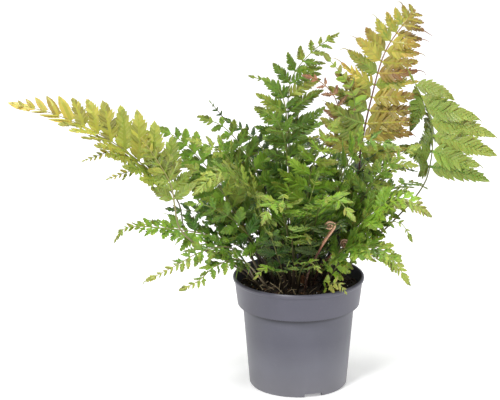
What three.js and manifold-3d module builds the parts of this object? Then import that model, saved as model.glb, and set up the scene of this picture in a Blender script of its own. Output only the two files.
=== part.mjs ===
import * as THREE from 'three';
import { mergeVertices } from 'three/addons/utils/BufferGeometryUtils.js';
import Module from 'manifold-3d';

// A potted autumn fern in a plastic nursery pot. Millimetres, +Z up.
// The origin is the centre of the pot's foot, on the surface that the pot stands on.
// +X is the plant's right from its front, which looks along -Y, and +Y is its back.

const wasm = await Module();
wasm.setup();

// Driving dimensions of the pot
const SEGMENTS = 30;
const WALL = 1.2;
const POT_HEIGHT = 112;
const RIM_RADIUS = 65;
const RIM_BEAD = 4.6;
const COLLAR_TOP_RADIUS = 63.3;
const COLLAR_FOOT_RADIUS = 60.3;
const LEDGE_HEIGHT = 83.6;
const BODY_TOP_RADIUS = 55.2;
const BODY_FOOT_RADIUS = 48.3;
const FOOT_RADIUS = 47;
const FOOT_RING = 2.6;
const FOOT_ROUND = 1.6;
const FLOOR_HEIGHT = 4;
const PAD_RADIUS = 19;
const PAD_INNER_RADIUS = 18.2;
const FLOOR_SLOPE = 1.4;
const NOTCH = { width: 18, height: 3.7, count: 3, turn: THREE.MathUtils.degToRad(-72.4) };
const DRAIN = { radius: 4.5, ring: 32, count: 6, sides: 8 };

// Driving dimensions of the soil and of the plant
const GAP = 0.35;
const SOIL_EDGE_HEIGHT = 100;
const SOIL_CROWN_HEIGHT = 106.4;
const SOIL_BUMP = 0.8;
const STEM_FOOT_HEIGHT = 104;
const ROOT_DEPTH = 10;
const HOLE_RISE = 9;
const BLADE = 0.8;
const STEPS = 64;
const STALK_STEP = 17;
const STALK_HALF = { width: [1.4, 0.95, 0.5], depth: [1.2, 0.8, 0.4] };
const LEAF = {
  rootWidth: 3,
  rootShare: 0.5,
  rootWidest: 4.4,
  rootCrowd: 0.7,
  crowding: 1.3,
  taper: 0.85,
  basalShare: 0.8,
  basalRun: 0.18,
  closing: 14,
  sweep: 0.14,
  droop: 0.14,
  spread: 0.43,
  slender: 0.27,
  clearRoot: 1.4,
  lobeLength: 17,
  mostLobes: 4,
  lobeSlant: 0.22,
  lobeFade: 0.75,
  notch: [1.3, 2.6],
  tipShare: 0.55,
};
const BENDS = [0, 14, -14, 28, -28, 42].map(THREE.MathUtils.degToRad);
const CUTS = [1, 0.75, 0.5];

// Colours of the finishes
const finish = (color, roughness) => new THREE.MeshStandardMaterial({ color, roughness, metalness: 0 });
const FINISHES = {
  pot: finish(0x73737c, 0.5),
  soil: finish(0x2a211b, 0.95),
  crown: finish(0x5a3622, 0.9),
  gold: finish(0xb7a93c, 0.55),
  bronze: finish(0xa0762f, 0.55),
  rust: finish(0x9a5a3c, 0.6),
  lime: finish(0x8db038, 0.55),
  green: finish(0x4f8a2c, 0.5),
  deep: finish(0x2f5a24, 0.5),
};

// Solids, and the meshes that go into and come out of them

function weld(geometry) {
  geometry.deleteAttribute('normal');
  geometry.deleteAttribute('uv');
  const merged = mergeVertices(geometry, 1e-4);
  const corners = merged.index.array;
  const kept = [];
  for (let i = 0; i < corners.length; i += 3) {
    const [a, b, c] = [corners[i], corners[i + 1], corners[i + 2]];
    if (a !== b && b !== c && c !== a) kept.push(a, b, c);
  }
  merged.setIndex(kept);
  return merged;
}

function solidOf(geometry) {
  const vertProperties = new Float32Array(geometry.attributes.position.array);
  const triVerts = new Uint32Array(geometry.index.array);
  return new wasm.Manifold(new wasm.Mesh({ numProp: 3, vertProperties, triVerts }));
}

function geometryOf(solid) {
  const mesh = solid.getMesh();
  const geometry = new THREE.BufferGeometry();
  geometry.setAttribute('position', new THREE.BufferAttribute(mesh.vertProperties, 3));
  geometry.setIndex(new THREE.BufferAttribute(mesh.triVerts, 1));
  return geometry;
}

function turned(profile, segments = SEGMENTS) {
  const points = profile.map(([radius, height]) => new THREE.Vector2(radius, height));
  return weld(new THREE.LatheGeometry(points, segments).rotateX(Math.PI / 2));
}

function piece(name, geometry, material) {
  geometry.computeVertexNormals();
  const mesh = new THREE.Mesh(geometry, material);
  mesh.name = name;
  return mesh;
}

// A surface of triangles that becomes a closed thin plate: each of its points holds the half
// thickness there, and both faces of the plate are split into triangles alike.

class Surface {
  points = [];
  halves = [];
  faces = [];

  point(position, half) {
    this.halves.push(half);
    return this.points.push(position) - 1;
  }

  face(a, b, c, turnedOver = false) {
    this.faces.push(turnedOver ? [a, c, b] : [a, b, c]);
  }

  quad(a, b, c, d, turnedOver = false) {
    this.face(a, b, c, turnedOver);
    this.face(a, c, d, turnedOver);
  }

  normals() {
    const sums = this.points.map(() => new THREE.Vector3());
    for (const [a, b, c] of this.faces) {
      const [p, q, r] = [this.points[a], this.points[b], this.points[c]];
      const area = q.clone().sub(p).cross(r.clone().sub(p));
      for (const corner of [a, b, c]) sums[corner].add(area);
    }
    return sums.map((sum) => sum.normalize());
  }

  edges() {
    const inner = new Set(this.faces.flatMap(([a, b, c]) => [`${a},${b}`, `${b},${c}`, `${c},${a}`]));
    const pairs = this.faces.flatMap(([a, b, c]) => [[a, b], [b, c], [c, a]]);
    return pairs.filter(([a, b]) => !inner.has(`${b},${a}`));
  }

  plate() {
    const count = this.points.length;
    const normals = this.normals();
    const layer = (sign) => this.points.map((point, i) => {
      return point.clone().addScaledVector(normals[i], sign * this.halves[i]);
    });
    const positions = [...layer(1), ...layer(-1)].flatMap((point) => point.toArray());
    const top = this.faces;
    const bottom = this.faces.map(([a, b, c]) => [a + count, c + count, b + count]);
    const walls = this.edges().flatMap(([a, b]) => [[a, a + count, b + count], [a, b + count, b]]);
    const geometry = new THREE.BufferGeometry();
    geometry.setAttribute('position', new THREE.Float32BufferAttribute(positions, 3));
    geometry.setIndex([...top, ...bottom, ...walls].flat());
    return geometry;
  }
}

// The pot

function potProfile() {
  const innerFoot = BODY_FOOT_RADIUS - WALL;
  return [
    [0, 0],
    [PAD_RADIUS, 0],
    [PAD_RADIUS + FLOOR_SLOPE, FLOOR_HEIGHT],
    [FOOT_RADIUS - FOOT_RING - 0.8, FLOOR_HEIGHT],
    [FOOT_RADIUS - FOOT_RING, 0],
    [FOOT_RADIUS, 0],
    [BODY_FOOT_RADIUS, FOOT_ROUND],
    [BODY_TOP_RADIUS, LEDGE_HEIGHT - 0.6],
    [COLLAR_FOOT_RADIUS, LEDGE_HEIGHT],
    [COLLAR_TOP_RADIUS, POT_HEIGHT - RIM_BEAD],
    [RIM_RADIUS - 0.3, POT_HEIGHT - RIM_BEAD + 1],
    [RIM_RADIUS, POT_HEIGHT - 1.5],
    [RIM_RADIUS - 1, POT_HEIGHT],
    [RIM_RADIUS - 2.4, POT_HEIGHT],
    [COLLAR_TOP_RADIUS - WALL, POT_HEIGHT - WALL],
    [COLLAR_FOOT_RADIUS - WALL, LEDGE_HEIGHT + WALL],
    [BODY_TOP_RADIUS - WALL, LEDGE_HEIGHT + 0.6],
    [innerFoot, FLOOR_HEIGHT + 2 * WALL],
    [innerFoot - WALL, FLOOR_HEIGHT + WALL],
    [PAD_INNER_RADIUS + FLOOR_SLOPE, FLOOR_HEIGHT + WALL],
    [PAD_INNER_RADIUS, WALL],
    [0, WALL],
  ];
}

function drainNotch(index) {
  const turn = NOTCH.turn + (index * 2 * Math.PI) / NOTCH.count;
  const depth = 6;
  const box = new THREE.BoxGeometry(depth, NOTCH.width, 2 * NOTCH.height);
  box.translate(FOOT_RADIUS - FOOT_RING + depth / 2 - 1.5, 0, 0).rotateZ(turn);
  return solidOf(weld(box));
}

function drainHole(index) {
  const turn = ((index + 0.5) * 2 * Math.PI) / DRAIN.count;
  const hole = new THREE.CylinderGeometry(DRAIN.radius, DRAIN.radius, 4 * WALL, DRAIN.sides);
  hole.rotateX(Math.PI / 2).translate(DRAIN.ring, 0, FLOOR_HEIGHT + WALL / 2).rotateZ(turn);
  return solidOf(weld(hole));
}

function makePot() {
  let pot = solidOf(turned(potProfile()));
  for (let i = 0; i < NOTCH.count; i++) pot = pot.subtract(drainNotch(i));
  for (let i = 0; i < DRAIN.count; i++) pot = pot.subtract(drainHole(i));
  return pot;
}

// The soil, with its uneven top, and the scaly crown of the plant in it

const CROWN = { x: 5, y: -8, radius: 5, foot: 90, top: 112, sides: 10 };

function soilProfile() {
  const innerFoot = BODY_FOOT_RADIUS - WALL - GAP;
  const floor = FLOOR_HEIGHT + WALL + GAP;
  const collarRise = (SOIL_EDGE_HEIGHT - LEDGE_HEIGHT) / (POT_HEIGHT - RIM_BEAD - LEDGE_HEIGHT);
  const collarSpread = (COLLAR_TOP_RADIUS - COLLAR_FOOT_RADIUS) * collarRise;
  return [
    [0, WALL + GAP],
    [PAD_INNER_RADIUS - GAP, WALL + GAP],
    [PAD_INNER_RADIUS + FLOOR_SLOPE - GAP, floor],
    [innerFoot - WALL, floor],
    [innerFoot, floor + WALL],
    [BODY_TOP_RADIUS - WALL - GAP, LEDGE_HEIGHT + 0.6 + GAP],
    [COLLAR_FOOT_RADIUS - WALL - GAP, LEDGE_HEIGHT + WALL + GAP],
    [COLLAR_FOOT_RADIUS - WALL - 2 * GAP + collarSpread, SOIL_EDGE_HEIGHT],
    [46, SOIL_EDGE_HEIGHT + 3],
    [24, SOIL_CROWN_HEIGHT - 0.9],
    [0, SOIL_CROWN_HEIGHT],
  ];
}

function soilBump(x, y) {
  const swell = Math.sin(0.21 * x + 1) * Math.cos(0.17 * y);
  const lump = Math.sin(0.37 * x - 0.31 * y + 2);
  return SOIL_BUMP * (swell + 0.7 * lump);
}

function makeSoil(hollows) {
  const geometry = turned(soilProfile());
  const place = geometry.attributes.position;
  for (let i = 0; i < place.count; i++) {
    const lift = place.getZ(i) > SOIL_EDGE_HEIGHT + 1 ? soilBump(place.getX(i), place.getY(i)) : 0;
    place.setZ(i, place.getZ(i) + lift);
  }
  return hollows.reduce((soil, hollow) => soil.subtract(hollow), solidOf(geometry));
}

function crownBody(grow) {
  const { radius, foot, top, sides } = CROWN;
  const profile = [
    [0, foot - grow],
    [radius + grow, foot - grow],
    [radius + 0.6 + grow, foot + 8],
    [radius + 0.4 + grow, top - 7],
    [radius - 1.4 + grow, top - 3],
    [0, top + grow],
  ];
  return turned(profile, sides).translate(CROWN.x, CROWN.y, 0);
}

function makeCrown() {
  const geometry = crownBody(0);
  const place = geometry.attributes.position;
  for (let i = 0; i < place.count; i++) {
    const dx = place.getX(i) - CROWN.x;
    const dy = place.getY(i) - CROWN.y;
    const scale = 1 - 0.07 * (1 + Math.sin(5 * Math.atan2(dy, dx) + place.getZ(i)));
    place.setXY(i, CROWN.x + dx * scale, CROWN.y + dy * scale);
  }
  return geometry;
}

// A frond's route: a smooth curve through hand-set points from the soil to its tip, with the
// direction of its upper side carried along it without twist.

const { lerp } = THREE.MathUtils;
const across = (vector, axis) => vector.clone().addScaledVector(axis, -vector.dot(axis)).normalize();
const mix = (a, b, share) => a.clone().lerp(b, share);

class Route {
  constructor({ route, stalk, face }) {
    const points = route.map((point) => new THREE.Vector3(...point));
    const curve = new THREE.CatmullRomCurve3(points, false, 'catmullrom', 0.5);
    this.length = curve.getLength();
    this.stalk = stalk;
    this.points = curve.getSpacedPoints(STEPS);
    const last = STEPS;
    this.along = this.points.map((_, i) => {
      const [before, after] = [this.points[Math.max(i - 1, 0)], this.points[Math.min(i + 1, last)]];
      return after.clone().sub(before).normalize();
    });
    const middle = Math.round((stalk + (1 - stalk) / 3) * STEPS);
    this.up = [];
    this.up[middle] = across(new THREE.Vector3(...face), this.along[middle]);
    for (let i = middle + 1; i <= last; i++) this.up[i] = across(this.up[i - 1], this.along[i]);
    for (let i = middle - 1; i >= 0; i--) this.up[i] = across(this.up[i + 1], this.along[i]);
  }

  // The place and directions at a share of the length; a negative share lies below the soil.
  at(share) {
    const step = Math.min(Math.max(share, 0), 1) * STEPS;
    const i = Math.min(Math.floor(step), STEPS - 1);
    const point = mix(this.points[i], this.points[i + 1], step - i);
    const along = mix(this.along[i], this.along[i + 1], step - i).normalize();
    const up = across(mix(this.up[i], this.up[i + 1], step - i), along);
    if (share < 0) point.addScaledVector(along, share * this.length);
    return { share, point, along, up, side: along.clone().cross(up) };
  }

  // Half the width or depth of the stalk and midrib: foot, top of the stalk and tip.
  half([foot, top, tip], share) {
    const inStalk = Math.min(Math.max(share / this.stalk, 0), 1);
    const inBlade = Math.max((share - this.stalk) / (1 - this.stalk), 0);
    return lerp(lerp(foot, top, inStalk), tip, inBlade);
  }
}

// The strip of a stalk or midrib through a list of shares; gives the corners at each station.
function addStrip(surface, route, shares, size = STALK_HALF, grow = 0) {
  const corners = shares.map((share) => {
    const { point, side } = route.at(share);
    const width = route.half(size.width, share) + grow;
    const depth = route.half(size.depth, share) + grow;
    const corner = (sign) => point.clone().addScaledVector(side, sign * width);
    return [surface.point(corner(-1), depth), surface.point(corner(1), depth)];
  });
  for (let i = 1; i < corners.length; i++) {
    const [[left, right], [nextLeft, nextRight]] = [corners[i - 1], corners[i]];
    surface.quad(left, right, nextRight, nextLeft);
  }
  return corners;
}

function evenShares(from, to, count) {
  return Array.from({ length: count + 1 }, (_, i) => from + ((to - from) * i) / count);
}

function stemHollow(route, size) {
  const surface = new Surface();
  const below = -(ROOT_DEPTH + GAP) / route.length;
  addStrip(surface, route, [below, HOLE_RISE / route.length], size, GAP);
  return solidOf(surface.plate());
}

// Side leaves. Each grows from the midrib on a curved rib, and its blade is cut to that rib into
// pointed lobes, one pair for each step along the rib.

function sideLeaves(spec, route) {
  const bladeLength = route.length * (1 - spec.stalk);
  const placeOf = (k) => 1 - (1 - k / spec.pairs) ** LEAF.crowding;
  return Array.from({ length: spec.pairs }, (_, k) => {
    const place = placeOf(k);
    const spacing = bladeLength * (placeOf(k + 1) - place);
    const basal = LEAF.basalShare + (1 - LEAF.basalShare) * Math.min(1, place / LEAF.basalRun);
    const length = spec.reach * (1 - place) ** (spec.taper ?? LEAF.taper) * basal;
    const broadRoot = Math.max(LEAF.rootWidth, LEAF.rootShare * spacing);
    return {
      share: spec.stalk + (1 - spec.stalk) * place,
      length,
      rootWidth: Math.min(broadRoot, LEAF.rootWidest, LEAF.rootCrowd * spacing),
      angle: THREE.MathUtils.degToRad(spec.angle - (spec.closing ?? LEAF.closing) * place),
      width: Math.min(LEAF.spread * spacing, LEAF.slender * length),
      lobes: Math.min(Math.floor(length / LEAF.lobeLength), LEAF.mostLobes),
    };
  });
}

function ribOf(frame, side, leaf, spec, bend, cut) {
  const tilt = THREE.MathUtils.degToRad(spec.fold) + bend;
  const outward = frame.side.clone().multiplyScalar(side * Math.cos(tilt));
  outward.addScaledVector(frame.up, Math.sin(tilt));
  const start = outward.multiplyScalar(Math.sin(leaf.angle));
  start.addScaledVector(frame.along, Math.cos(leaf.angle));
  const curl = frame.along.clone().multiplyScalar(LEAF.sweep).setZ(LEAF.sweep * frame.along.z - LEAF.droop);
  const length = leaf.length * cut;
  return {
    at: (s) => frame.point.clone().addScaledVector(start, length * s).addScaledVector(curl, length * s * s),
    broad: (s) => across(frame.along, start.clone().addScaledVector(curl, 2 * s).normalize()),
  };
}

function addSideLeaf(surface, rib, side, leaf, root, grow = 0) {
  const half = BLADE / 2 + grow;
  const over = side < 0;
  const edge = (s, offset) => surface.point(rib.at(s).addScaledVector(rib.broad(s), offset), half);
  const pair = (s, offset) => [edge(s, -offset - grow), edge(s, offset + grow)];
  let [lower, upper] = root ?? pair(LEAF.clearRoot / leaf.length, leaf.rootWidth / 2);
  const steps = leaf.lobes + LEAF.tipShare;
  for (let j = 0; j < leaf.lobes; j++) {
    const end = (j + 1) / steps;
    const [nextLower, nextUpper] = pair(end, lerp(...LEAF.notch, end));
    const apexAt = (j + 0.5 + LEAF.lobeSlant) / steps;
    const [lowerApex, upperApex] = pair(apexAt, leaf.width * (1 - j / steps) ** LEAF.lobeFade);
    surface.quad(lower, nextLower, nextUpper, upper, over);
    surface.face(lower, lowerApex, nextLower, over);
    surface.face(upper, nextUpper, upperApex, over);
    [lower, upper] = [nextLower, nextUpper];
  }
  surface.face(lower, edge(1 + grow / leaf.length, 0), upper, over);
}

// Obstacles that side leaves are bent or shortened to keep clear of

const obstacles = [];

function hold(solid, owner) {
  obstacles.push({ solid, box: solid.boundingBox(), ...owner });
}

function apart(a, b) {
  return [0, 1, 2].some((axis) => a.min[axis] > b.max[axis] || b.min[axis] > a.max[axis]);
}

function isFree(guard, frond, share) {
  const box = guard.boundingBox();
  const nearOwnRoot = (other) => other.frond === frond && Math.abs(other.share - share) < other.reach;
  return !obstacles.some((other) => {
    if (apart(box, other.box) || nearOwnRoot(other)) return false;
    const shared = guard.intersect(other.solid);
    const touching = !shared.isEmpty();
    shared.delete();
    return touching;
  });
}

// Gives the rib of a side leaf that clears everything placed so far, or nothing.
function clearRib(frond, frame, side, leaf, spec) {
  for (const cut of CUTS) {
    for (const bend of BENDS) {
      const rib = ribOf(frame, side, leaf, spec, bend, cut);
      const surface = new Surface();
      addSideLeaf(surface, rib, side, leaf, null, GAP);
      const guard = solidOf(surface.plate());
      if (isFree(guard, frond, leaf.share)) return rib;
      guard.delete();
    }
  }
  return null;
}

function holdStem(frond, route) {
  const shares = evenShares(-ROOT_DEPTH / route.length, 1, Math.ceil(route.length / STALK_STEP));
  for (let i = 1; i < shares.length; i++) {
    const surface = new Surface();
    addStrip(surface, route, [shares[i - 1], shares[i]], STALK_HALF, GAP);
    hold(solidOf(surface.plate()), { frond, share: (shares[i - 1] + shares[i]) / 2, reach: 0.12 });
  }
}

function makeFrond(name, spec, route) {
  const surface = new Surface();
  const leaves = sideLeaves(spec, route);
  const stalkSteps = Math.ceil((route.length * spec.stalk) / STALK_STEP);
  const stalkShares = evenShares(-ROOT_DEPTH / route.length, spec.stalk, stalkSteps).slice(0, -1);
  const rootShares = leaves.flatMap(({ share, rootWidth }) => {
    const half = rootWidth / 2 / route.length;
    return [share - half, share + half];
  });
  const corners = addStrip(surface, route, [...stalkShares, ...rootShares]);
  const [lastLeft, lastRight] = corners.at(-1);
  surface.face(lastLeft, lastRight, surface.point(route.at(1).point, BLADE / 2));
  leaves.forEach((leaf, k) => {
    const frame = route.at(leaf.share);
    const [foot, head] = corners.slice(stalkShares.length + 2 * k);
    [-1, 1].forEach((side, column) => {
      const rib = clearRib(name, frame, side, leaf, spec);
      if (!rib) return;
      addSideLeaf(surface, rib, side, leaf, [foot[column], head[column]]);
      const alone = new Surface();
      addSideLeaf(alone, rib, side, leaf, null);
      hold(solidOf(alone.plate()), { frond: name, share: leaf.share, reach: 1e-6 });
    });
  });
  return surface.plate();
}

// Croziers: young fronds still coiled, each a stalk that ends in a flat spiral

const CROZIER_HALF = { width: [1.3, 1.1, 0.55], depth: [1.3, 1.1, 0.7] };
const COIL = { radius: 5.2, eye: 1.9, turns: 1.35, points: 9 };

function crozierRoute({ stem, face }) {
  const top = new THREE.Vector3(...stem.at(-1));
  const rise = top.clone().sub(new THREE.Vector3(...stem.at(-2))).normalize();
  const inward = new THREE.Vector3(...face).cross(rise).normalize();
  const centre = top.clone().addScaledVector(inward, COIL.radius);
  const spiral = Array.from({ length: COIL.points }, (_, i) => {
    const share = (i + 1) / COIL.points;
    const angle = 2 * Math.PI * COIL.turns * share;
    const radius = lerp(COIL.radius, COIL.eye, share);
    const point = centre.clone().addScaledVector(inward, -radius * Math.cos(angle));
    return point.addScaledVector(rise, radius * Math.sin(angle)).toArray();
  });
  return new Route({ route: [...stem, ...spiral], stalk: 0.5, face });
}

function makeCrozier(route, steps) {
  const surface = new Surface();
  addStrip(surface, route, evenShares(-ROOT_DEPTH / route.length, 1, steps), CROZIER_HALF);
  return surface.plate();
}

// The plant. Each frond has its route in millimetres from the soil to the tip, the share of it that
// is bare stalk, its pairs of side leaves, the length of the longest, the angle that they leave
// the midrib at, how far they fold up from it, and the direction that the upper side faces. Two
// of them also close or taper towards the tip in their own way.

const foot = (x, y) => [x, y, STEM_FOOT_HEIGHT];

const FRONDS = {
  gold_left: {
    route: [foot(-40, -10), [-72, -24, 136], [-109, -32, 163], [-121, -38, 205],
      [-174, -36, 254], [-231, -28, 282], [-281, -20, 293]],
    stalk: 0.47, pairs: 13, reach: 62, angle: 58, fold: 40, face: [0.35, -0.66, 0.75], finish: 'gold',
  },
  bronze_tall: {
    route: [foot(20, 14), [55, 20, 183], [61, 26, 233], [71, 38, 280], [86, 54, 327], [115, 64, 366]],
    stalk: 0.47, pairs: 14, reach: 57, angle: 78, taper: 0.5, fold: 8, face: [0.1, -1, 0.35],
    finish: 'bronze',
  },
  right_green: {
    route: [foot(30, -10), [71, -10, 148], [115, -2, 194], [128, 0, 225], [128, 4, 269], [106, 14, 317]],
    stalk: 0.61, pairs: 4, reach: 75, angle: 90, closing: -52, taper: 0.3, fold: 30,
    face: [0.75, 0.6, 0], finish: 'green',
  },
  top_green: {
    route: [foot(-3, 16), [-7, 30, 180], [-10, 44, 248], [-8, 52, 295], [13, 50, 326], [40, 44, 347]],
    stalk: 0.5, pairs: 11, reach: 52, angle: 63, fold: 12, face: [0.3, -1, 0.3], finish: 'green',
  },
  reddish_back: {
    route: [foot(7, 22), [24, 36, 196], [39, 31, 252], [36, 26, 284], [20, 24, 303], [2, 22, 310]],
    stalk: 0.58, pairs: 8, reach: 27, angle: 60, fold: 8, face: [0.2, -1, 0.4], finish: 'rust',
  },
  upper_left_thin: {
    route: [foot(-15, 15), [-18, 34, 168], [-28, 54, 210], [-46, 64, 236], [-76, 70, 254]],
    stalk: 0.5, pairs: 12, reach: 24, angle: 64, fold: 8, face: [-0.3, -0.25, 1], finish: 'deep',
  },
  left_high: {
    route: [foot(-28, 8), [-42, 2, 166], [-58, -6, 211], [-75, -14, 242], [-110, -22, 258]],
    stalk: 0.37, pairs: 9, reach: 48, angle: 64, fold: 8, face: [0.3, -0.4, 0.9], finish: 'green',
  },
  left_front: {
    route: [foot(-18, -15), [-32, -34, 164], [-48, -56, 214], [-75, -76, 240], [-103, -92, 221]],
    stalk: 0.37, pairs: 9, reach: 48, angle: 66, fold: 6, face: [0.2, -0.3, 1], finish: 'green',
  },
  left_low: {
    route: [foot(-30, -19), [-54, -38, 150], [-91, -54, 171],
      [-134, -62, 180], [-167, -68, 182], [-179, -70, 167]],
    stalk: 0.36, pairs: 10, reach: 30, angle: 66, fold: 4, face: [0.1, -0.45, 1], finish: 'lime',
  },
  trail_left_upper: {
    route: [foot(-37, -26), [-62, -58, 156], [-91, -80, 163], [-120, -92, 151], [-148, -98, 138]],
    stalk: 0.4, pairs: 8, reach: 24, angle: 66, fold: 0, face: [0.2, -0.4, 1], finish: 'green',
  },
  trail_left_lower: {
    route: [foot(-27, -32), [-55, -68, 149], [-81, -92, 151], [-96, -104, 141], [-116, -112, 133]],
    stalk: 0.42, pairs: 7, reach: 24, angle: 66, fold: 0, face: [0.2, -0.3, 1], finish: 'green',
  },
  left_middle: {
    route: [foot(-27, -5), [-48, -16, 152], [-71, -32, 178], [-100, -48, 192], [-130, -58, 198]],
    stalk: 0.32, pairs: 9, reach: 44, angle: 64, fold: 8, face: [0.2, -0.5, 1], finish: 'deep',
  },
  front_right: {
    route: [foot(5, -20), [12, -46, 163], [19, -74, 204], [33, -102, 222], [51, -126, 206]],
    stalk: 0.36, pairs: 9, reach: 44, angle: 64, fold: 6, face: [-0.2, -0.1, 1], finish: 'lime',
  },
  front_left: {
    route: [foot(-8, -22), [-11, -48, 163], [-19, -78, 205], [-27, -106, 219], [-37, -132, 204]],
    stalk: 0.36, pairs: 9, reach: 44, angle: 64, fold: 6, face: [0.2, -0.1, 1], finish: 'lime',
  },
  right_high: {
    route: [foot(15, -7), [30, -18, 179], [44, -32, 231], [62, -46, 263], [97, -58, 257]],
    stalk: 0.36, pairs: 9, reach: 50, angle: 64, fold: 8, face: [-0.2, -0.4, 0.9], finish: 'green',
  },
  centre_high: {
    route: [foot(2, 2), [7, -12, 177], [11, -26, 225], [21, -38, 255], [38, -48, 287]],
    stalk: 0.36, pairs: 9, reach: 50, angle: 64, fold: 8, face: [-0.2, -1, 0.2], finish: 'lime',
  },
  centre_left_high: {
    route: [foot(-11, 4), [-10, 6, 177], [-11, 6, 228], [-21, 0, 268], [-44, -10, 287]],
    stalk: 0.38, pairs: 9, reach: 48, angle: 64, fold: 8, face: [0.3, -0.8, 0.4], finish: 'green',
  },
  right_middle: {
    route: [foot(24, -18), [46, -30, 157], [70, -44, 190], [98, -56, 208], [127, -64, 191]],
    stalk: 0.33, pairs: 9, reach: 44, angle: 64, fold: 6, face: [-0.2, -0.5, 1], finish: 'lime',
  },
  right_upper: {
    route: [foot(32, 2), [42, 4, 163], [64, 10, 199], [90, 12, 221], [118, 6, 222]],
    stalk: 0.37, pairs: 9, reach: 44, angle: 64, fold: 8, face: [-0.3, -0.4, 0.9], finish: 'green',
  },
  right_low: {
    route: [foot(20, -28), [37, -48, 147], [54, -66, 163], [82, -80, 161], [106, -88, 130]],
    stalk: 0.32, pairs: 9, reach: 32, angle: 66, fold: 4, face: [-0.2, -0.4, 1], finish: 'green',
  },
  back_left: {
    route: [foot(-20, 26), [-32, 54, 158], [-50, 90, 196], [-68, 124, 208], [-84, 152, 196]],
    stalk: 0.42, pairs: 9, reach: 46, angle: 64, fold: 8, face: [0.2, -0.5, 1], finish: 'green',
  },
  back_middle: {
    route: [foot(-4, 30), [-6, 62, 165], [-8, 102, 212], [-8, 146, 222], [-8, 182, 198]],
    stalk: 0.42, pairs: 9, reach: 48, angle: 64, fold: 8, face: [0, -0.5, 1], finish: 'green',
  },
  back_right: {
    route: [foot(17, 28), [30, 56, 158], [52, 92, 198], [76, 126, 208], [98, 152, 190]],
    stalk: 0.42, pairs: 9, reach: 46, angle: 64, fold: 8, face: [-0.3, -0.5, 1], finish: 'green',
  },
  back_far_left: {
    route: [foot(-38, 14), [-58, 42, 148], [-82, 72, 176], [-106, 96, 184], [-124, 112, 174]],
    stalk: 0.42, pairs: 8, reach: 38, angle: 64, fold: 8, face: [0.4, -0.4, 1], finish: 'deep',
  },
  back_far_right: {
    route: [foot(38, 14), [60, 40, 146], [88, 68, 174], [114, 90, 180], [134, 106, 168]],
    stalk: 0.42, pairs: 8, reach: 38, angle: 64, fold: 8, face: [-0.4, -0.4, 1], finish: 'green',
  },
  young_front: {
    route: [foot(-2, -35), [1, -50, 132], [9, -70, 148], [21, -86, 142]],
    stalk: 0.3, pairs: 7, reach: 23, angle: 62, fold: 6, face: [-0.1, 0.1, 1], finish: 'lime',
  },
  young_right: {
    route: [foot(36, -19), [47, -32, 132], [64, -44, 148], [80, -52, 143]],
    stalk: 0.3, pairs: 7, reach: 22, angle: 62, fold: 6, face: [-0.3, 0.1, 1], finish: 'lime',
  },
  young_left: {
    route: [foot(-15, -34), [-21, -50, 130], [-32, -70, 142], [-45, -84, 135]],
    stalk: 0.3, pairs: 7, reach: 21, angle: 62, fold: 6, face: [0.2, 0.1, 1], finish: 'lime',
  },
};

const CROZIERS = {
  crozier_middle: {
    stem: [foot(5, -40), [9, -46, 130], [22, -60, 162], [33, -68, 182]],
    face: [0.2, -1, 0.1],
  },
  crozier_right: {
    stem: [foot(13, -16), [20, -28, 128], [33, -38, 146], [46, -44, 153]],
    face: [0.3, -1, 0.3],
  },
};

// Assembly

const fern = new THREE.Group();
const forEachNamed = (table, make) => {
  return Object.fromEntries(Object.entries(table).map(([name, spec]) => [name, make(spec)]));
};
const routes = forEachNamed(FRONDS, (spec) => new Route(spec));
const coils = forEachNamed(CROZIERS, crozierRoute);

const pot = makePot();
const hollows = [
  solidOf(crownBody(GAP)),
  ...Object.values(routes).map((route) => stemHollow(route, STALK_HALF)),
  ...Object.values(coils).map((route) => stemHollow(route, CROZIER_HALF)),
];
const soil = makeSoil(hollows);
fern.add(piece('nursery_pot', geometryOf(pot), FINISHES.pot));
fern.add(piece('soil', geometryOf(soil), FINISHES.soil));
fern.add(piece('crown', makeCrown(), FINISHES.crown));

hold(pot, {});
hold(soil, {});
hold(solidOf(crownBody(0)), {});
for (const [name, route] of Object.entries(coils)) {
  const coil = makeCrozier(route, 26);
  fern.add(piece(name, coil, FINISHES.rust));
  hold(solidOf(coil), {});
}
for (const [name, route] of Object.entries(routes)) holdStem(name, route);
for (const [name, spec] of Object.entries(FRONDS)) {
  fern.add(piece(`frond_${name}`, makeFrond(name, spec, routes[name]), FINISHES[spec.finish]));
}

export default fern;
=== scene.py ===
"""A potted autumn fern, with its finished leaves, soil and plastic nursery pot.

Pieces are modelled in millimetres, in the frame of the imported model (+Z up, origin under the
pot, front towards -Y), and each finished mesh is then scaled to metres.
"""

from __future__ import annotations

import logging
import math
from dataclasses import astuple, dataclass
from enum import Enum
from typing import Iterable, Iterator, Sequence

import bmesh
import bpy
import numpy as np
from bmesh.types import BMesh, BMFace, BMVert
from bpy.types import Material, Mesh, NodeSocket, Object
from mathutils import Matrix, Vector, noise
from mathutils.kdtree import KDTree

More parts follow.
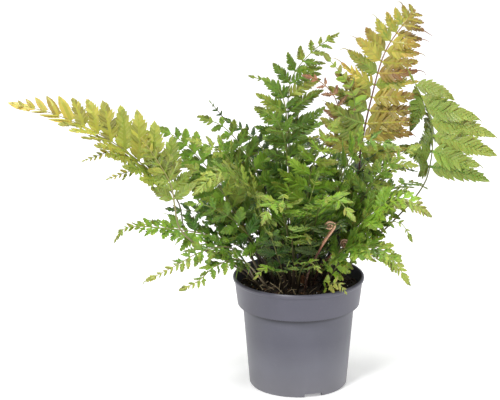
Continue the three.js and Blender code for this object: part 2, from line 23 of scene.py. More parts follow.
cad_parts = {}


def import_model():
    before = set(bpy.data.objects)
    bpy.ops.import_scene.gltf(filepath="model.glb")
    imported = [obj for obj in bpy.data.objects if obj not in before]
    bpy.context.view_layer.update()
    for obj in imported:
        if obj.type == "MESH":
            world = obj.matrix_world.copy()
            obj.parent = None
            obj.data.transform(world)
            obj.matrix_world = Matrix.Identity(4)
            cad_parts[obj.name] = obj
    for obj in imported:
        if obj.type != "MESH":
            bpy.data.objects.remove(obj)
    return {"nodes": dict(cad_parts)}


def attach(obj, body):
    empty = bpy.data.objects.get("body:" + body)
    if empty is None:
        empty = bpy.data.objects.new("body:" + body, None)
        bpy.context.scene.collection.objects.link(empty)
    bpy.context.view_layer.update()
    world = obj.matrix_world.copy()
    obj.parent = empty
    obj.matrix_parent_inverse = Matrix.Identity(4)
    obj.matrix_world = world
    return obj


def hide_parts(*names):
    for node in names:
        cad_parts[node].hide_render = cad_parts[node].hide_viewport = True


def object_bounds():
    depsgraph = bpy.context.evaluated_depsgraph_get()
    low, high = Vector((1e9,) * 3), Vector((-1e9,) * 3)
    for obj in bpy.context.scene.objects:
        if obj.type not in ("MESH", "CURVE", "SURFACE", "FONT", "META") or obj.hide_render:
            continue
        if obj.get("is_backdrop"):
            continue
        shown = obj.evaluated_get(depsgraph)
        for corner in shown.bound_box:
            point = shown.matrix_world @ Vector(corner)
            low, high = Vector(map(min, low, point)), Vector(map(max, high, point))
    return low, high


LOG = logging.getLogger("potted_fern")
MM = 0.001
BODY = "root"
UP = Vector((0, 0, 1))
STILL = Vector((0, 0, 0))
WHITE = (1.0, 1.0, 1.0, 1.0)

Point = tuple[float, float, float]
Pair = tuple[float, float]
Colour = tuple[int, int, int]
Stops = tuple[tuple[float, Colour], ...]


class Slot(Enum):
    """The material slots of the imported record."""

    POT = "pot_plastic"
    SOIL = "soil"
    CROWN = "crown_scales"
    GOLD = "leaf_gold"
    BRONZE = "leaf_bronze"
    RUST = "leaf_rust"
    LIME = "leaf_lime"
    GREEN = "leaf_green"
    DEEP = "leaf_deep"


# Finishes


def linear(colour: Colour) -> tuple[float, ...]:
    """Gives a screen colour of 0 to 255 as the linear colour and alpha of a shader socket."""
    shares = (channel / 255 for channel in colour)
    return (*(((c + 0.055) / 1.055) ** 2.4 if c > 0.04 else c / 12.92 for c in shares), 1.0)


class Recipe:
    """The nodes of one material, written as short calls."""

    def __init__(self, name: str, roughness: float, specular: float = 0.5) -> None:
        """Starts a material whose surface is one Principled shader.

        Args:
            name: the material's name.
            roughness: how rough the surface is, from 0 to 1.
            specular: the specular level, 0.5 for common plastics and leaves.
        """
        self.material = bpy.data.materials.new(name)
        self.material.use_nodes = True
        self.tree = self.material.node_tree
        self.surface = self.tree.nodes["Principled BSDF"].inputs
        self.feed(self.surface, {"Roughness": roughness, "Specular IOR Level": specular})
        self.place = self.node("TexCoord", {})["Object"]

    def feed(self, inputs: Sequence[NodeSocket], values: dict[str | int, object]) -> None:
        """Links inputs to sockets, or sets them to numbers and colours.

        Args:
            inputs: the inputs of a node.
            values: the socket, number or colour for each input, by its name or place.
        """
        for key, value in values.items():
            if isinstance(value, NodeSocket):
                self.tree.links.new(value, inputs[key])
            else:
                inputs[key].default_value = value

    def node(self, kind: str, values: dict[str | int, object], **settings: str) -> Sequence[NodeSocket]:
        """Adds a node.

        Args:
            kind: Blender's name for the node, without its first words.
            values: what goes into its inputs.
            settings: its settings.

        Returns:
            The node's outputs.
        """
        node = self.tree.nodes.new(f"ShaderNode{kind}")
        for name, setting in settings.items():
            setattr(node, name, setting)
        self.feed(node.inputs, values)
        return node.outputs

    def math(self, operation: str, first: object, second: object = 0.0) -> NodeSocket:
        """Gives the result of one sum on two numbers or sockets."""
        return self.node("Math", {0: first, 1: second}, operation=operation)[0]

    def about(self, value: NodeSocket, middle: float, reach: float) -> NodeSocket:
        """Gives how far a value is from a middle, times a reach."""
        return self.math("MULTIPLY", self.math("SUBTRACT", value, middle), reach)

    def line(self, value: NodeSocket, slope: float, start: float) -> NodeSocket:
        """Gives a value times a slope, from a start."""
        return self.math("ADD", self.math("MULTIPLY", value, slope), start)

    def noise(self, grain: float, detail: float = 3.0) -> NodeSocket:
        """Gives noise from 0 to 1, in spots of a size in millimetres with finer layers."""
        values = {"Scale": 1 / (grain * MM), "Detail": detail, "Vector": self.place}
        return self.node("TexNoise", values)["Fac"]

    def streaks(self, across: float, along: float) -> NodeSocket:
        """Gives noise in upright streaks.

        Args:
            across: the width of a streak in millimetres.
            along: its length in millimetres.

        Returns:
            The factor socket of the noise.
        """
        scale = (1 / across / MM, 1 / across / MM, 1 / along / MM)
        place = self.node("Mapping", {"Scale": scale, "Vector": self.place})[0]
        return self.node("TexNoise", {"Scale": 1.0, "Detail": 4.0, "Vector": place})["Fac"]

    def level(self, top: float) -> NodeSocket:
        """Gives the height above the floor, as a share of a height in millimetres."""
        return self.math("DIVIDE", self.node("SeparateXYZ", {0: self.place})[2], top * MM)

    def attribute(self, name: str) -> Sequence[NodeSocket]:
        """Gives the three numbers that a mesh stores at each vertex under a name."""
        vector = self.node("Attribute", {}, attribute_name=name)["Vector"]
        return self.node("SeparateXYZ", {0: vector})

    def ramp(self, factor: NodeSocket, stops: Stops) -> NodeSocket:
        """Gives a colour that runs through stops as a factor goes from 0 to 1.

        Args:
            factor: the number that picks the colour.
            stops: places from 0 to 1, each with its screen colour.

        Returns:
            The colour socket.
        """
        node = self.tree.nodes.new("ShaderNodeValToRGB")
        elements = node.color_ramp.elements
        while len(elements) < len(stops):
            elements.new(0.5)
        for element, (place, colour) in zip(elements, stops):
            element.position = place
            element.color = linear(colour)
        self.feed(node.inputs, {0: factor})
        return node.outputs["Color"]

    def blend(self, factor: NodeSocket, first: NodeSocket, second: tuple[float, ...]) -> NodeSocket:
        """Gives a mix of two colours, by the share of the second."""
        return self.node("Mix", {"Factor": factor, 6: first, 7: second}, data_type="RGBA")[2]

    def shade(self, colour: NodeSocket, value: NodeSocket) -> NodeSocket:
        """Gives a colour made darker or lighter by a factor."""
        return self.node("HueSaturation", {"Value": value, "Color": colour})[0]

    def relief(self, height: NodeSocket, depth: float, strength: float) -> None:
        """Raises the surface by a share of a pattern of 0 to 1, whose depth is in millimetres."""
        values = {"Strength": strength, "Distance": depth * MM, "Height": height}
        self.feed(self.surface, {"Normal": self.node("Bump", values)[0]})

    def paint(self, colour: NodeSocket) -> None:
        """Makes a colour the surface's own."""
        self.feed(self.surface, {"Base Color": colour})

    def polish(self, factor: NodeSocket, low: float, high: float) -> None:
        """Lets the roughness follow a factor between two values."""
        values = {"To Min": low, "To Max": high, "Value": factor}
        self.feed(self.surface, {"Roughness": self.node("MapRange", values)[0]})


@dataclass(frozen=True)
class LeafFinish:
    """The skin of the leaflets: satin, veined, paler below, coloured by ripeness."""

    name: str
    stops: Stops
    underside: Colour
    tip_ripening: float = 0.16
    roughness: float = 0.34
    gloss_range: Pair = (-0.08, 0.12)
    gloss_grain: float = 3.0
    glow: float = 0.18
    tone_spread: float = 0.9
    even_place: float = 0.4
    patch_grain: float = 9.0
    patch_reach: float = 0.4
    vein_fineness: float = 6.0
    vein_paleness: float = 0.35
    under_paleness: float = 0.6
    nerve_slant: float = 0.3
    nerve_pitch: float = 32.0
    nerve_height: float = 0.3
    relief: Pair = (0.26, 0.8)

    def material(self) -> Material:
        """Builds the material; ripeness picks the place on the row of colours.

        Returns:
            The material.
        """
        recipe = Recipe(self.name, self.roughness)
        along, across, under = recipe.attribute("leaflet")
        ripeness, tone, out = recipe.attribute("growth")
        ageing = recipe.about(out, self.even_place, self.tip_ripening)
        patches = recipe.about(recipe.noise(self.patch_grain), 0.5, self.patch_reach)
        age = recipe.math("ADD", recipe.math("ADD", ripeness, ageing), patches)
        lightness = recipe.line(tone, self.tone_spread, 1 - self.tone_spread / 2)
        colour = recipe.shade(recipe.ramp(age, self.stops), lightness)
        aside = recipe.math("ABSOLUTE", across)
        vein = recipe.math("POWER", recipe.math("SUBTRACT", 1.0, aside), self.vein_fineness)
        slant = recipe.math("SUBTRACT", along, recipe.math("MULTIPLY", aside, self.nerve_slant))
        nerves = recipe.math("SINE", recipe.math("MULTIPLY", slant, self.nerve_pitch))
        for part, paleness in ((vein, self.vein_paleness), (under, self.under_paleness)):
            share = recipe.math("MULTIPLY", part, paleness)
            colour = recipe.blend(share, colour, linear(self.underside))
        recipe.paint(colour)
        gloss = (self.roughness + change for change in self.gloss_range)
        recipe.polish(recipe.noise(self.gloss_grain), *gloss)
        height = recipe.math("SUBTRACT", recipe.math("MULTIPLY", nerves, self.nerve_height), vein)
        recipe.relief(height, *self.relief)
        recipe.feed(recipe.surface, {"Subsurface Weight": self.glow, "Subsurface Scale": MM})
        return recipe.material


@dataclass(frozen=True)
class StalkFinish:
    """The skin of stalks and midribs: brown at the foot, tan and then green above."""

    name: str
    stops: Stops
    roughness: float = 0.45
    patch_grain: float = 5.0
    patch_reach: float = 0.2
    tone_spread: float = 0.5
    groove: Pair = (0.4, 6.0)
    relief: Pair = (0.15, 0.5)

    def material(self) -> Material:
        """Builds the material, coloured by the height along the frond.

        Returns:
            The material.
        """
        recipe = Recipe(self.name, self.roughness)
        height, tone, _ = recipe.attribute("growth")
        patches = recipe.about(recipe.noise(self.patch_grain), 0.5, self.patch_reach)
        colour = recipe.ramp(recipe.math("ADD", height, patches), self.stops)
        lightness = recipe.line(tone, self.tone_spread, 1 - self.tone_spread / 2)
        recipe.paint(recipe.shade(colour, lightness))
        recipe.relief(recipe.streaks(*self.groove), *self.relief)
        return recipe.material


@dataclass(frozen=True)
class ScaleFinish:
    """The papery brown scales on the crown and on young stalks."""

    name: str
    dark: Colour = (74, 40, 22)
    light: Colour = (190, 134, 92)
    tone_share: float = 0.7
    tip_share: float = 0.3
    roughness: float = 0.7
    specular: float = 0.3
    fibre: Pair = (0.3, 2.0)
    relief: Pair = (0.1, 0.5)

    def material(self) -> Material:
        """Builds the material, each scale in its own tone.

        Returns:
            The material.
        """
        recipe = Recipe(self.name, self.roughness, self.specular)
        _, tone, tip = recipe.attribute("growth")
        ends = recipe.math("MULTIPLY", tip, self.tip_share)
        mixed = recipe.math("ADD", recipe.math("MULTIPLY", tone, self.tone_share), ends)
        recipe.paint(recipe.ramp(mixed, ((0.0, self.dark), (1.0, self.light))))
        recipe.relief(recipe.streaks(*self.fibre), *self.relief)
        return recipe.material


@dataclass(frozen=True)
class SoilFinish:
    """Moist, crumbly material of one colour range, such as peat, bark or perlite."""

    name: str
    dark: Colour
    light: Colour
    grain: float = 1.6
    roughness: float = 0.9
    specular: float = 0.3
    layers: float = 6.0
    spot_range: Pair = (0.35, 0.72)
    relief: Pair = (0.6, 0.9)

    def material(self) -> Material:
        """Builds the material, with spots of the light colour and a fine crumb.

        Returns:
            The material.
        """
        recipe = Recipe(self.name, self.roughness, self.specular)
        spots = recipe.noise(self.grain, self.layers)
        recipe.paint(recipe.ramp(spots, tuple(zip(self.spot_range, (self.dark, self.light)))))
        recipe.relief(recipe.noise(self.grain / 2, self.layers), *self.relief)
        return recipe.material


@dataclass(frozen=True)
class PlasticFinish:
    """Grey moulded plastic: paler towards its foot as painted light reflected up from the floor, with a
    painted shadow as a dark band under its ledge, faintly mottled.
    """

    name: str = "moulded grey plastic"
    # painted light and shade by height: paler towards the foot for light reflected from the floor, and
    # a dark band just under the ledge for the ledge's shadow
    stops: Stops = (
        (0.0, (114, 113, 120)), (0.26, (104, 104, 114)), (0.5, (86, 86, 98)), (0.7, (86, 86, 98)),
        (0.73, (44, 44, 52)), (0.745, (44, 44, 52)), (0.752, (84, 83, 96)), (1.0, (84, 83, 96)),
    )
    height: float = 112.0
    dust: Colour = (139, 137, 136)
    dust_share: float = 0.08
    roughness: float = 0.38
    mottle: tuple[float, float, float] = (38.0, 2.0, 0.3)
    streak: tuple[float, float, float] = (14.0, 60.0, 0.08)
    darkest: float = 0.81
    scuff: Pair = (2.2, 8.0)
    scuff_range: Stops = ((0.6, (0, 0, 0)), (0.72, (255, 255, 255)))
    gloss: Pair = (18.0, 40.0)
    gloss_range: Pair = (-0.02, 0.08)
    grain: Pair = (0.8, 2.0)
    relief: Pair = (0.02, 0.5)

    def material(self) -> Material:
        """Builds the material.

        Returns:
            The material.
        """
        recipe = Recipe(self.name, self.roughness)
        # the colour by height carries the painted floor reflection at the foot and the painted shadow
        # under the ledge
        base = recipe.ramp(recipe.level(self.height), self.stops)
        mottling = recipe.math("MULTIPLY", recipe.noise(*self.mottle[:2]), self.mottle[2])
        streaks = recipe.math("MULTIPLY", recipe.streaks(*self.streak[:2]), self.streak[2])
        tone = recipe.math("ADD", recipe.math("ADD", mottling, streaks), self.darkest)
        scuffs = recipe.ramp(recipe.noise(*self.scuff), self.scuff_range)
        dusty = recipe.math("MULTIPLY", scuffs, self.dust_share)
        recipe.paint(recipe.blend(dusty, recipe.shade(base, tone), linear(self.dust)))
        gloss = (self.roughness + change for change in self.gloss_range)
        recipe.polish(recipe.streaks(*self.gloss), *gloss)
        recipe.relief(recipe.noise(*self.grain), *self.relief)
        return recipe.material


@dataclass(frozen=True)
class FloorFinish:
    """The plain pale floor of the studio."""

    stops: Stops = ((0.0, (245, 245, 245)), (1.0, (248, 248, 248)))
    roughness: float = 0.8
    specular: float = 0.2
    glow: float = 0.3
    grain: float = 40.0

    def material(self) -> Material:
        """Builds the material, with a barely seen grain.

        Returns:
            The material.
        """
        recipe = Recipe("pale floor", self.roughness, self.specular)
        recipe.feed(recipe.surface, {"Emission Color": WHITE, "Emission Strength": self.glow})
        recipe.paint(recipe.ramp(recipe.noise(self.grain), self.stops))
        return recipe.material


LEAF_FINISHES = {
    Slot.GOLD: LeafFinish(
        "golden leaf", ((0.0, (112, 132, 42)), (0.45, (162, 162, 60)), (1.0, (206, 188, 94))),
        (196, 200, 120),
    ),
    Slot.BRONZE: LeafFinish(
        "bronze leaf",
        ((0.0, (118, 140, 48)), (0.35, (170, 158, 62)), (0.6, (154, 126, 54)),
         (0.8, (138, 82, 50)), (1.0, (108, 48, 36))),
        (180, 158, 92), 0.34,
    ),
    Slot.RUST: LeafFinish(
        "rust leaf", ((0.0, (146, 128, 78)), (1.0, (176, 120, 94))), (190, 150, 122)
    ),
    Slot.LIME: LeafFinish(
        "lime leaf", ((0.0, (62, 104, 22)), (0.6, (132, 168, 48)), (1.0, (152, 152, 74))),
        (150, 172, 94), 0.26,
    ),
    Slot.GREEN: LeafFinish(
        "green leaf", ((0.0, (42, 74, 18)), (0.6, (104, 140, 38)), (1.0, (158, 168, 70))),
        (148, 164, 80), 0.32,
    ),
    # deep green is partly the fern's own dark leaves and partly painted shade: its stops are dark to
    # stand in for the shade deep in the clump
    Slot.DEEP: LeafFinish(
        "deep green leaf", ((0.0, (16, 32, 10)), (1.0, (70, 106, 32))), (112, 136, 74)
    ),
}
GREEN_STALK = StalkFinish(
    "green stalk",
    ((0.0, (28, 20, 15)), (0.2, (52, 42, 28)), (0.45, (92, 92, 46)), (1.0, (140, 156, 74))),
)
TAN_STALK = StalkFinish(
    "tan stalk",
    ((0.0, (46, 38, 30)), (0.15, (108, 96, 76)), (0.5, (118, 110, 78)), (1.0, (160, 156, 90))),
)
DARK_STALK = StalkFinish(
    "dark stalk",
    ((0.0, (30, 20, 16)), (0.45, (58, 34, 26)), (0.7, (104, 58, 40)), (1.0, (160, 124, 72))),
)
CROZIER_STALK = StalkFinish(
    "crozier stalk",
    ((0.0, (38, 24, 18)), (0.35, (78, 46, 32)), (0.5, (140, 92, 68)), (0.62, (222, 176, 146))),
)


# Shared mesh work


def mesh_of(bed: BMesh, name: str) -> Mesh:
    """Gives a bmesh as a plain mesh.

    Args:
        bed: the bmesh, which is freed.
        name: the mesh's name.

    Returns:
        The new mesh.
    """
    mesh = bpy.data.meshes.new(name)
    bed.to_mesh(mesh)
    bed.free()
    return mesh


def graft(bed: BMesh, mesh: Mesh) -> None:
    """Adds a plain mesh to a bmesh, and removes it."""
    bed.from_mesh(mesh)
    bpy.data.meshes.remove(mesh)


def turn_out(bed: BMesh) -> None:
    """Turns the faces of the closed shapes in a bmesh outwards."""
    bmesh.ops.recalc_face_normals(bed, faces=bed.faces[:])


def show(name: str, data: bpy.types.ID) -> Object:
    """Adds an object to the scene.

    Args:
        name: its name.
        data: its mesh, light or camera.

    Returns:
        The new object.
    """
    shown = bpy.data.objects.new(name, data)
    bpy.context.scene.collection.objects.link(shown)
    return shown


def settle(bed: BMesh, name: str, slot: Slot, materials: Sequence[Material],
           nodes: Sequence[str] = (), crease: float = 65.0) -> None:
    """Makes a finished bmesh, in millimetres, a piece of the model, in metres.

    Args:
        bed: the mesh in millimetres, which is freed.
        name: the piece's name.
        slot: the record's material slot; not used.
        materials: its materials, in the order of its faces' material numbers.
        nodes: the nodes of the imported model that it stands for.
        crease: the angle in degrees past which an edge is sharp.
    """
    mesh = mesh_of(bed, name)
    mesh.transform(Matrix.Scale(MM, 4))
    for material in materials:
        mesh.materials.append(material)
    mesh.shade_smooth()
    mesh.set_sharp_from_angle(angle=math.radians(crease))
    piece = show(name, mesh)
    if nodes:
        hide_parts(*nodes)
    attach(piece, BODY)
    LOG.info("%s: %d faces", name, len(mesh.polygons))


def spin_profile(profile: Sequence[Pair], steps: int, centre: Pair = (0.0, 0.0)) -> BMesh:
    """Turns an outline of radii and heights, which starts and ends on the axis, round it.

    Args:
        profile: pairs of radius and height in millimetres.
        steps: the number of faces round the shape.
        centre: the x and y of the axis.

    Returns:
        The closed mesh.
    """
    bed = bmesh.new()
    corners = [bed.verts.new((centre[0] + radius, centre[1], height)) for radius, height in profile]
    for start, end in zip(corners, corners[1:]):
        bed.edges.new((start, end))
    bmesh.ops.spin(
        bed, geom=bed.verts[:] + bed.edges[:], cent=(*centre, 0.0), axis=UP, angle=math.tau,
        steps=steps, use_merge=True, use_duplicate=False,
    )
    bmesh.ops.remove_doubles(bed, verts=bed.verts[:], dist=1e-3)
    turn_out(bed)
    return bed


def across(vector: Vector, axis: Vector) -> Vector:
    """Gives the part of a vector that is square to an axis, at length 1."""
    return (vector - axis * vector.dot(axis)).normalized()


def facing(vector: Vector, way: Vector) -> Vector:
    """Gives a vector, turned round if it points away from a way."""
    return vector if vector.dot(way) > 0 else -vector


def heading_at(turn: float, rise: float = 0.0) -> Vector:
    """Gives the direction at an angle round Z, with a rise."""
    return Vector((math.cos(turn), math.sin(turn), rise))


def placed(axes: Sequence[Vector], point: Vector) -> Matrix:
    """Gives the matrix that lays X, Y and Z along three axes from a point.

    Args:
        axes: where X, Y and Z go.
        point: where the origin goes.

    Returns:
        The matrix.
    """
    matrix = Matrix(axes).transposed().to_4x4()
    matrix.translation = point
    return matrix


# Routes


@dataclass(frozen=True)
class Station:
    """A place on a route, with the directions of the stalk there."""

    point: Vector
    along: Vector
    up: Vector

    @property
    def side(self) -> Vector:
        """The direction across the stalk, to the right of its upper side."""
        return self.along.cross(self.up)

    def ring(self, width: float, depth: float) -> Matrix:
        """Gives the matrix of an oval ring round the stalk, of half a width and depth."""
        return placed((self.side * width, self.up * depth, self.along), self.point)


class Route:
    """A smooth curve through given points, with the way that its upper side faces."""

    STEPS = 64
    FINE_STEPS = 200

    def __init__(self, points: Sequence[Point], stalk: float, face: Point) -> None:
        """Works out even points along the curve and the directions there.

        Args:
            points: the points in millimetres, from the soil to the tip.
            stalk: the share of the length that is bare stalk.
            face: the direction that the upper side faces, a third of the way up the blade.
        """
        self.stalk = stalk
        places = self._even_points(np.array(points, dtype=float))
        beside = np.vstack([places[:1], places, places[-1:]])
        ways = beside[2:] - beside[:-2]
        self.points = [Vector(place) for place in places]
        self.along = [Vector(way) for way in ways / np.linalg.norm(ways, axis=-1, keepdims=True)]
        middle = math.floor((stalk + (1 - stalk) / 3) * self.STEPS + 0.5)
        self.up = [across(Vector(face), self.along[middle])] * (self.STEPS + 1)
        for i in range(middle + 1, self.STEPS + 1):
            self.up[i] = across(self.up[i - 1], self.along[i])
        for i in range(middle - 1, -1, -1):
            self.up[i] = across(self.up[i + 1], self.along[i])

    def _even_points(self, anchors: np.ndarray) -> np.ndarray:
        """Spaces points evenly on the Catmull-Rom curve, and keeps its length.

        Args:
            anchors: the points that the curve goes through.

        Returns:
            The even points.
        """
        first, last = 2 * anchors[0] - anchors[1], 2 * anchors[-1] - anchors[-2]
        knots = np.vstack([first, anchors, last])
        spans = len(anchors) - 1

        def curve(shares: np.ndarray) -> np.ndarray:
            """Gives points of the curve.

            Args:
                shares: shares of the way through the anchors.

            Returns:
                The point at each.
            """
            span = np.minimum((shares * spans).astype(int), spans - 1)
            t = (shares * spans - span)[:, None]
            start, end = knots[span + 1], knots[span + 2]
            leaving, arriving = (end - knots[span]) / 2, (knots[span + 3] - start) / 2
            cubic = 2 * start - 2 * end + leaving + arriving
            square = 3 * end - 3 * start - 2 * leaving - arriving
            return start + t * (leaving + t * (square + t * cubic))

        fine = np.linspace(0, 1, self.FINE_STEPS + 1)
        gaps = np.linalg.norm(np.diff(curve(fine), axis=0), axis=1)
        run = np.concatenate([[0], np.cumsum(gaps)])
        self.length = float(run[-1])
        return curve(np.interp(np.linspace(0, run[-1], self.STEPS + 1), run, fine))

    def at(self, share: float) -> Station:
        """Gives the place and directions at a share of the length.

        Args:
            share: from 0 at the soil to 1 at the tip; below 0 it lies straight below.

        Returns:
            The station there.
        """
        step = min(max(share, 0.0), 1.0) * self.STEPS
        i = min(int(step), self.STEPS - 1)
        part = step - i
        along = self.along[i].lerp(self.along[i + 1], part).normalized()
        up = across(self.up[i].lerp(self.up[i + 1], part), along)
        point = self.points[i].lerp(self.points[i + 1], part)
        if share < 0:
            point = point + along * (share * self.length)
        return Station(point, along, up)

    def half(self, sizes: Point, share: float) -> float:
        """Gives half a width of the stalk at a share.

        Args:
            sizes: half the width at the foot, at the top of the stalk and at the tip.
            share: the share of the length.

        Returns:
            Half the width there, in millimetres.
        """
        foot, top, tip = sizes
        in_stalk = min(max(share / self.stalk, 0.0), 1.0)
        in_blade = max((share - self.stalk) / (1 - self.stalk), 0.0)
        lower = foot + (top - foot) * in_stalk
        return lower + (tip - lower) * in_blade

    def rings(self, width: Point, depth: Point, shares: Sequence[float]) -> list[Matrix]:
        """Gives the rings of the stalk at shares, from its half widths and depths."""
        return [self.at(s).ring(self.half(width, s), self.half(depth, s)) for s in shares]


@dataclass(frozen=True)
class Rib:
    """The curved rib of a side leaf."""

    point: Vector
    start: Vector
    curl: Vector
    bow: Vector
    length: float
    midrib: Vector
    tilt: float = 0.0

    def at(self, s: float) -> Vector:
        """Gives the point at a share of the rib, whose bow is greatest halfway along."""
        run = self.start * s + self.curl * (s * s) + self.bow * (s * (1 - s))
        return self.point + run * self.length

    def heading(self, s: float) -> Vector:
        """Gives the direction that the rib runs in at a share."""
        return (self.start + self.curl * (2 * s) + self.bow * (1 - 2 * s)).normalized()

    def broad(self, s: float) -> Vector:
        """Gives the direction across the rib in the leaf's plane, towards the frond's tip."""
        heading = self.heading(s)
        return Matrix.Rotation(self.tilt, 3, heading) @ across(self.midrib, heading)


# Leaflets


@dataclass(frozen=True)
class Spot:
    """Where and how one leaflet grows."""

    root: Vector
    ahead: Vector
    normal: Vector
    length: float
    half_width: float
    droop: float
    sweep: Vector
    ripeness: float
    tone: float
    out: float


class LeafBed:
    """A mesh of leaflets and ribs in the making, with the values that their finish reads."""

    LEAF = 0
    STALK = 1
    RIB_PLACE = (0.5, 0.6, 0.0)

    def __init__(self) -> None:
        """Starts an empty mesh with its two rows of values."""
        self.mesh = bmesh.new()
        self.leaflet = self.mesh.verts.layers.float_vector.new("leaflet")
        self.growth = self.mesh.verts.layers.float_vector.new("growth")

    def dress(self, verts: Sequence[BMVert], kind: int) -> None:
        """Gives the faces at vertices the material of a number."""
        for face in {face for vert in verts for face in vert.link_faces}:
            face.material_index = kind

    def tube(self, rings: Sequence[Matrix], sides: int, tone: float, kind: int,
             ripeness: Sequence[float]) -> None:
        """Adds a closed stalk or rib, by extruding its end face from ring to ring.

        Args:
            rings: the place of each ring, as a matrix that a unit circle is turned and scaled by.
            sides: the number of its sides.
            tone: how light it is, from 0 to 1.
            kind: LEAF or STALK, the number of its material.
            ripeness: the value that its finish reads, at each ring.
        """
        loop = bmesh.ops.create_circle(
            self.mesh, cap_ends=True, segments=sides, radius=1.0, matrix=rings[0]
        )["verts"]
        end = loop[0].link_faces[0]
        drawn = []
        for i, ripe in enumerate(ripeness):
            if i > 0:
                grown = bmesh.ops.extrude_face_region(self.mesh, geom=[end])["geom"]
                end = next(part for part in grown if isinstance(part, BMFace))
                loop = list(end.verts)
                move = rings[i] @ rings[i - 1].inverted()
                bmesh.ops.transform(self.mesh, matrix=move, verts=loop)
            drawn.append((loop, ripe))
        for loop, ripe in drawn:
            for vert in loop:
                vert[self.leaflet] = self.RIB_PLACE
                vert[self.growth] = (ripe, tone, 0.0)
        self.dress([vert for loop, _ in drawn for vert in loop], kind)


@dataclass(frozen=True)
class LeafletShape:
    """The shape that every leaflet is made from: an oblong, toothed, closed thin plate."""

    steps: int = 4
    thickness: float = 0.24
    root_share: float = 0.92
    shoulder: float = 0.45
    tooth: float = 0.05
    arch: float = 0.42
    taper: Pair = (1.9, 0.8)
    blunt: float = 0.12

    def outline(self, x: float) -> float:
        """Gives the share of the full width at a share of the length.

        Args:
            x: the share of the length, from the root.

        Returns:
            The share of the width.
        """
        if x < self.shoulder:
            rise = x / self.shoulder
            return self.root_share + (1 - self.root_share) * math.sin(rise * math.pi / 2)
        fall = (x - self.shoulder) / (1 - self.shoulder)
        return max((1 - fall ** self.taper[0]) ** self.taper[1], self.blunt)

    def mould(self, bed: BMesh) -> list:
        """Makes the unit shape in a mesh, 1 long and 1 to each side of its vein.

        Args:
            bed: the mesh.

        Returns:
            The shape's vertices, edges and faces.
        """
        bmesh.ops.create_grid(bed, x_segments=self.steps, y_segments=2, size=0.5)
        for vert in bed.verts:
            x = vert.co.x + 0.5
            index = round(x * self.steps)
            inner = 0 < index < self.steps
            teeth = 1 + (self.tooth if index % 2 else -self.tooth) * inner
            vert.co = (x, vert.co.y * 2 * self.outline(x) * teeth, self.thickness / 2)
        bmesh.ops.solidify(bed, geom=bed.faces[:], thickness=self.thickness)
        low = min(vert.co.z for vert in bed.verts)
        for vert in bed.verts:
            vert.co.z -= low + self.thickness / 2
        turn_out(bed)
        return bed.verts[:] + bed.edges[:] + bed.faces[:]

    def press(self, bed: LeafBed, spots: Iterable[Spot]) -> None:
        """Fills an empty mesh with leaflets, as copies of the unit shape.

        Args:
            bed: the mesh.
            spots: where and how they grow.
        """
        parts = self.mould(bed.mesh)
        for spot in spots:
            sideways = spot.normal.cross(spot.ahead)
            for vert in bmesh.ops.duplicate(bed.mesh, geom=parts)["geom"]:
                if not isinstance(vert, BMVert):
                    continue
                x, y, z = vert.co
                sink = self.arch * spot.half_width * y * y + spot.droop * spot.length * x * x
                place = spot.root + spot.ahead * (x * spot.length) + sideways * (y * spot.half_width)
                vert.co = place + spot.normal * (z - sink) + spot.sweep * (x * x * spot.length)
                vert[bed.leaflet] = (x, y, 0.0 if z > 0 else 1.0)
                vert[bed.growth] = (spot.ripeness, spot.tone, spot.out)
        unit = [part for part in parts if isinstance(part, BMVert)]
        bmesh.ops.delete(bed.mesh, geom=unit, context="VERTS")


# Fronds


@dataclass(frozen=True)
class LeafHabit:
    """How side leaves are spaced, sized and bent on every frond."""

    crowding: float = 1.3
    taper: float = 0.85
    basal_share: float = 0.8
    basal_run: float = 0.18
    closing: float = 14.0
    sweep: float = 0.14
    droop: float = 0.14
    bends: tuple[float, ...] = (0.0, 14.0, -14.0, 28.0, -28.0, 42.0)
    cuts: tuple[float, ...] = (1.0, 0.75, 0.5)
    tip_reach: float = 0.8
    end_share: float = 0.13
    end_spacing: float = 10.0
    unruly: float = 14.0
    free_cuts: Pair = (0.7, 1.1)
    arching: float = 0.4
    ripening: float = 0.12


@dataclass(frozen=True)
class SideLeaf:
    """One side leaf's place and sizes, before it is bent clear of its neighbours."""

    place: float
    share: float
    length: float
    angle: float
    spacing: float


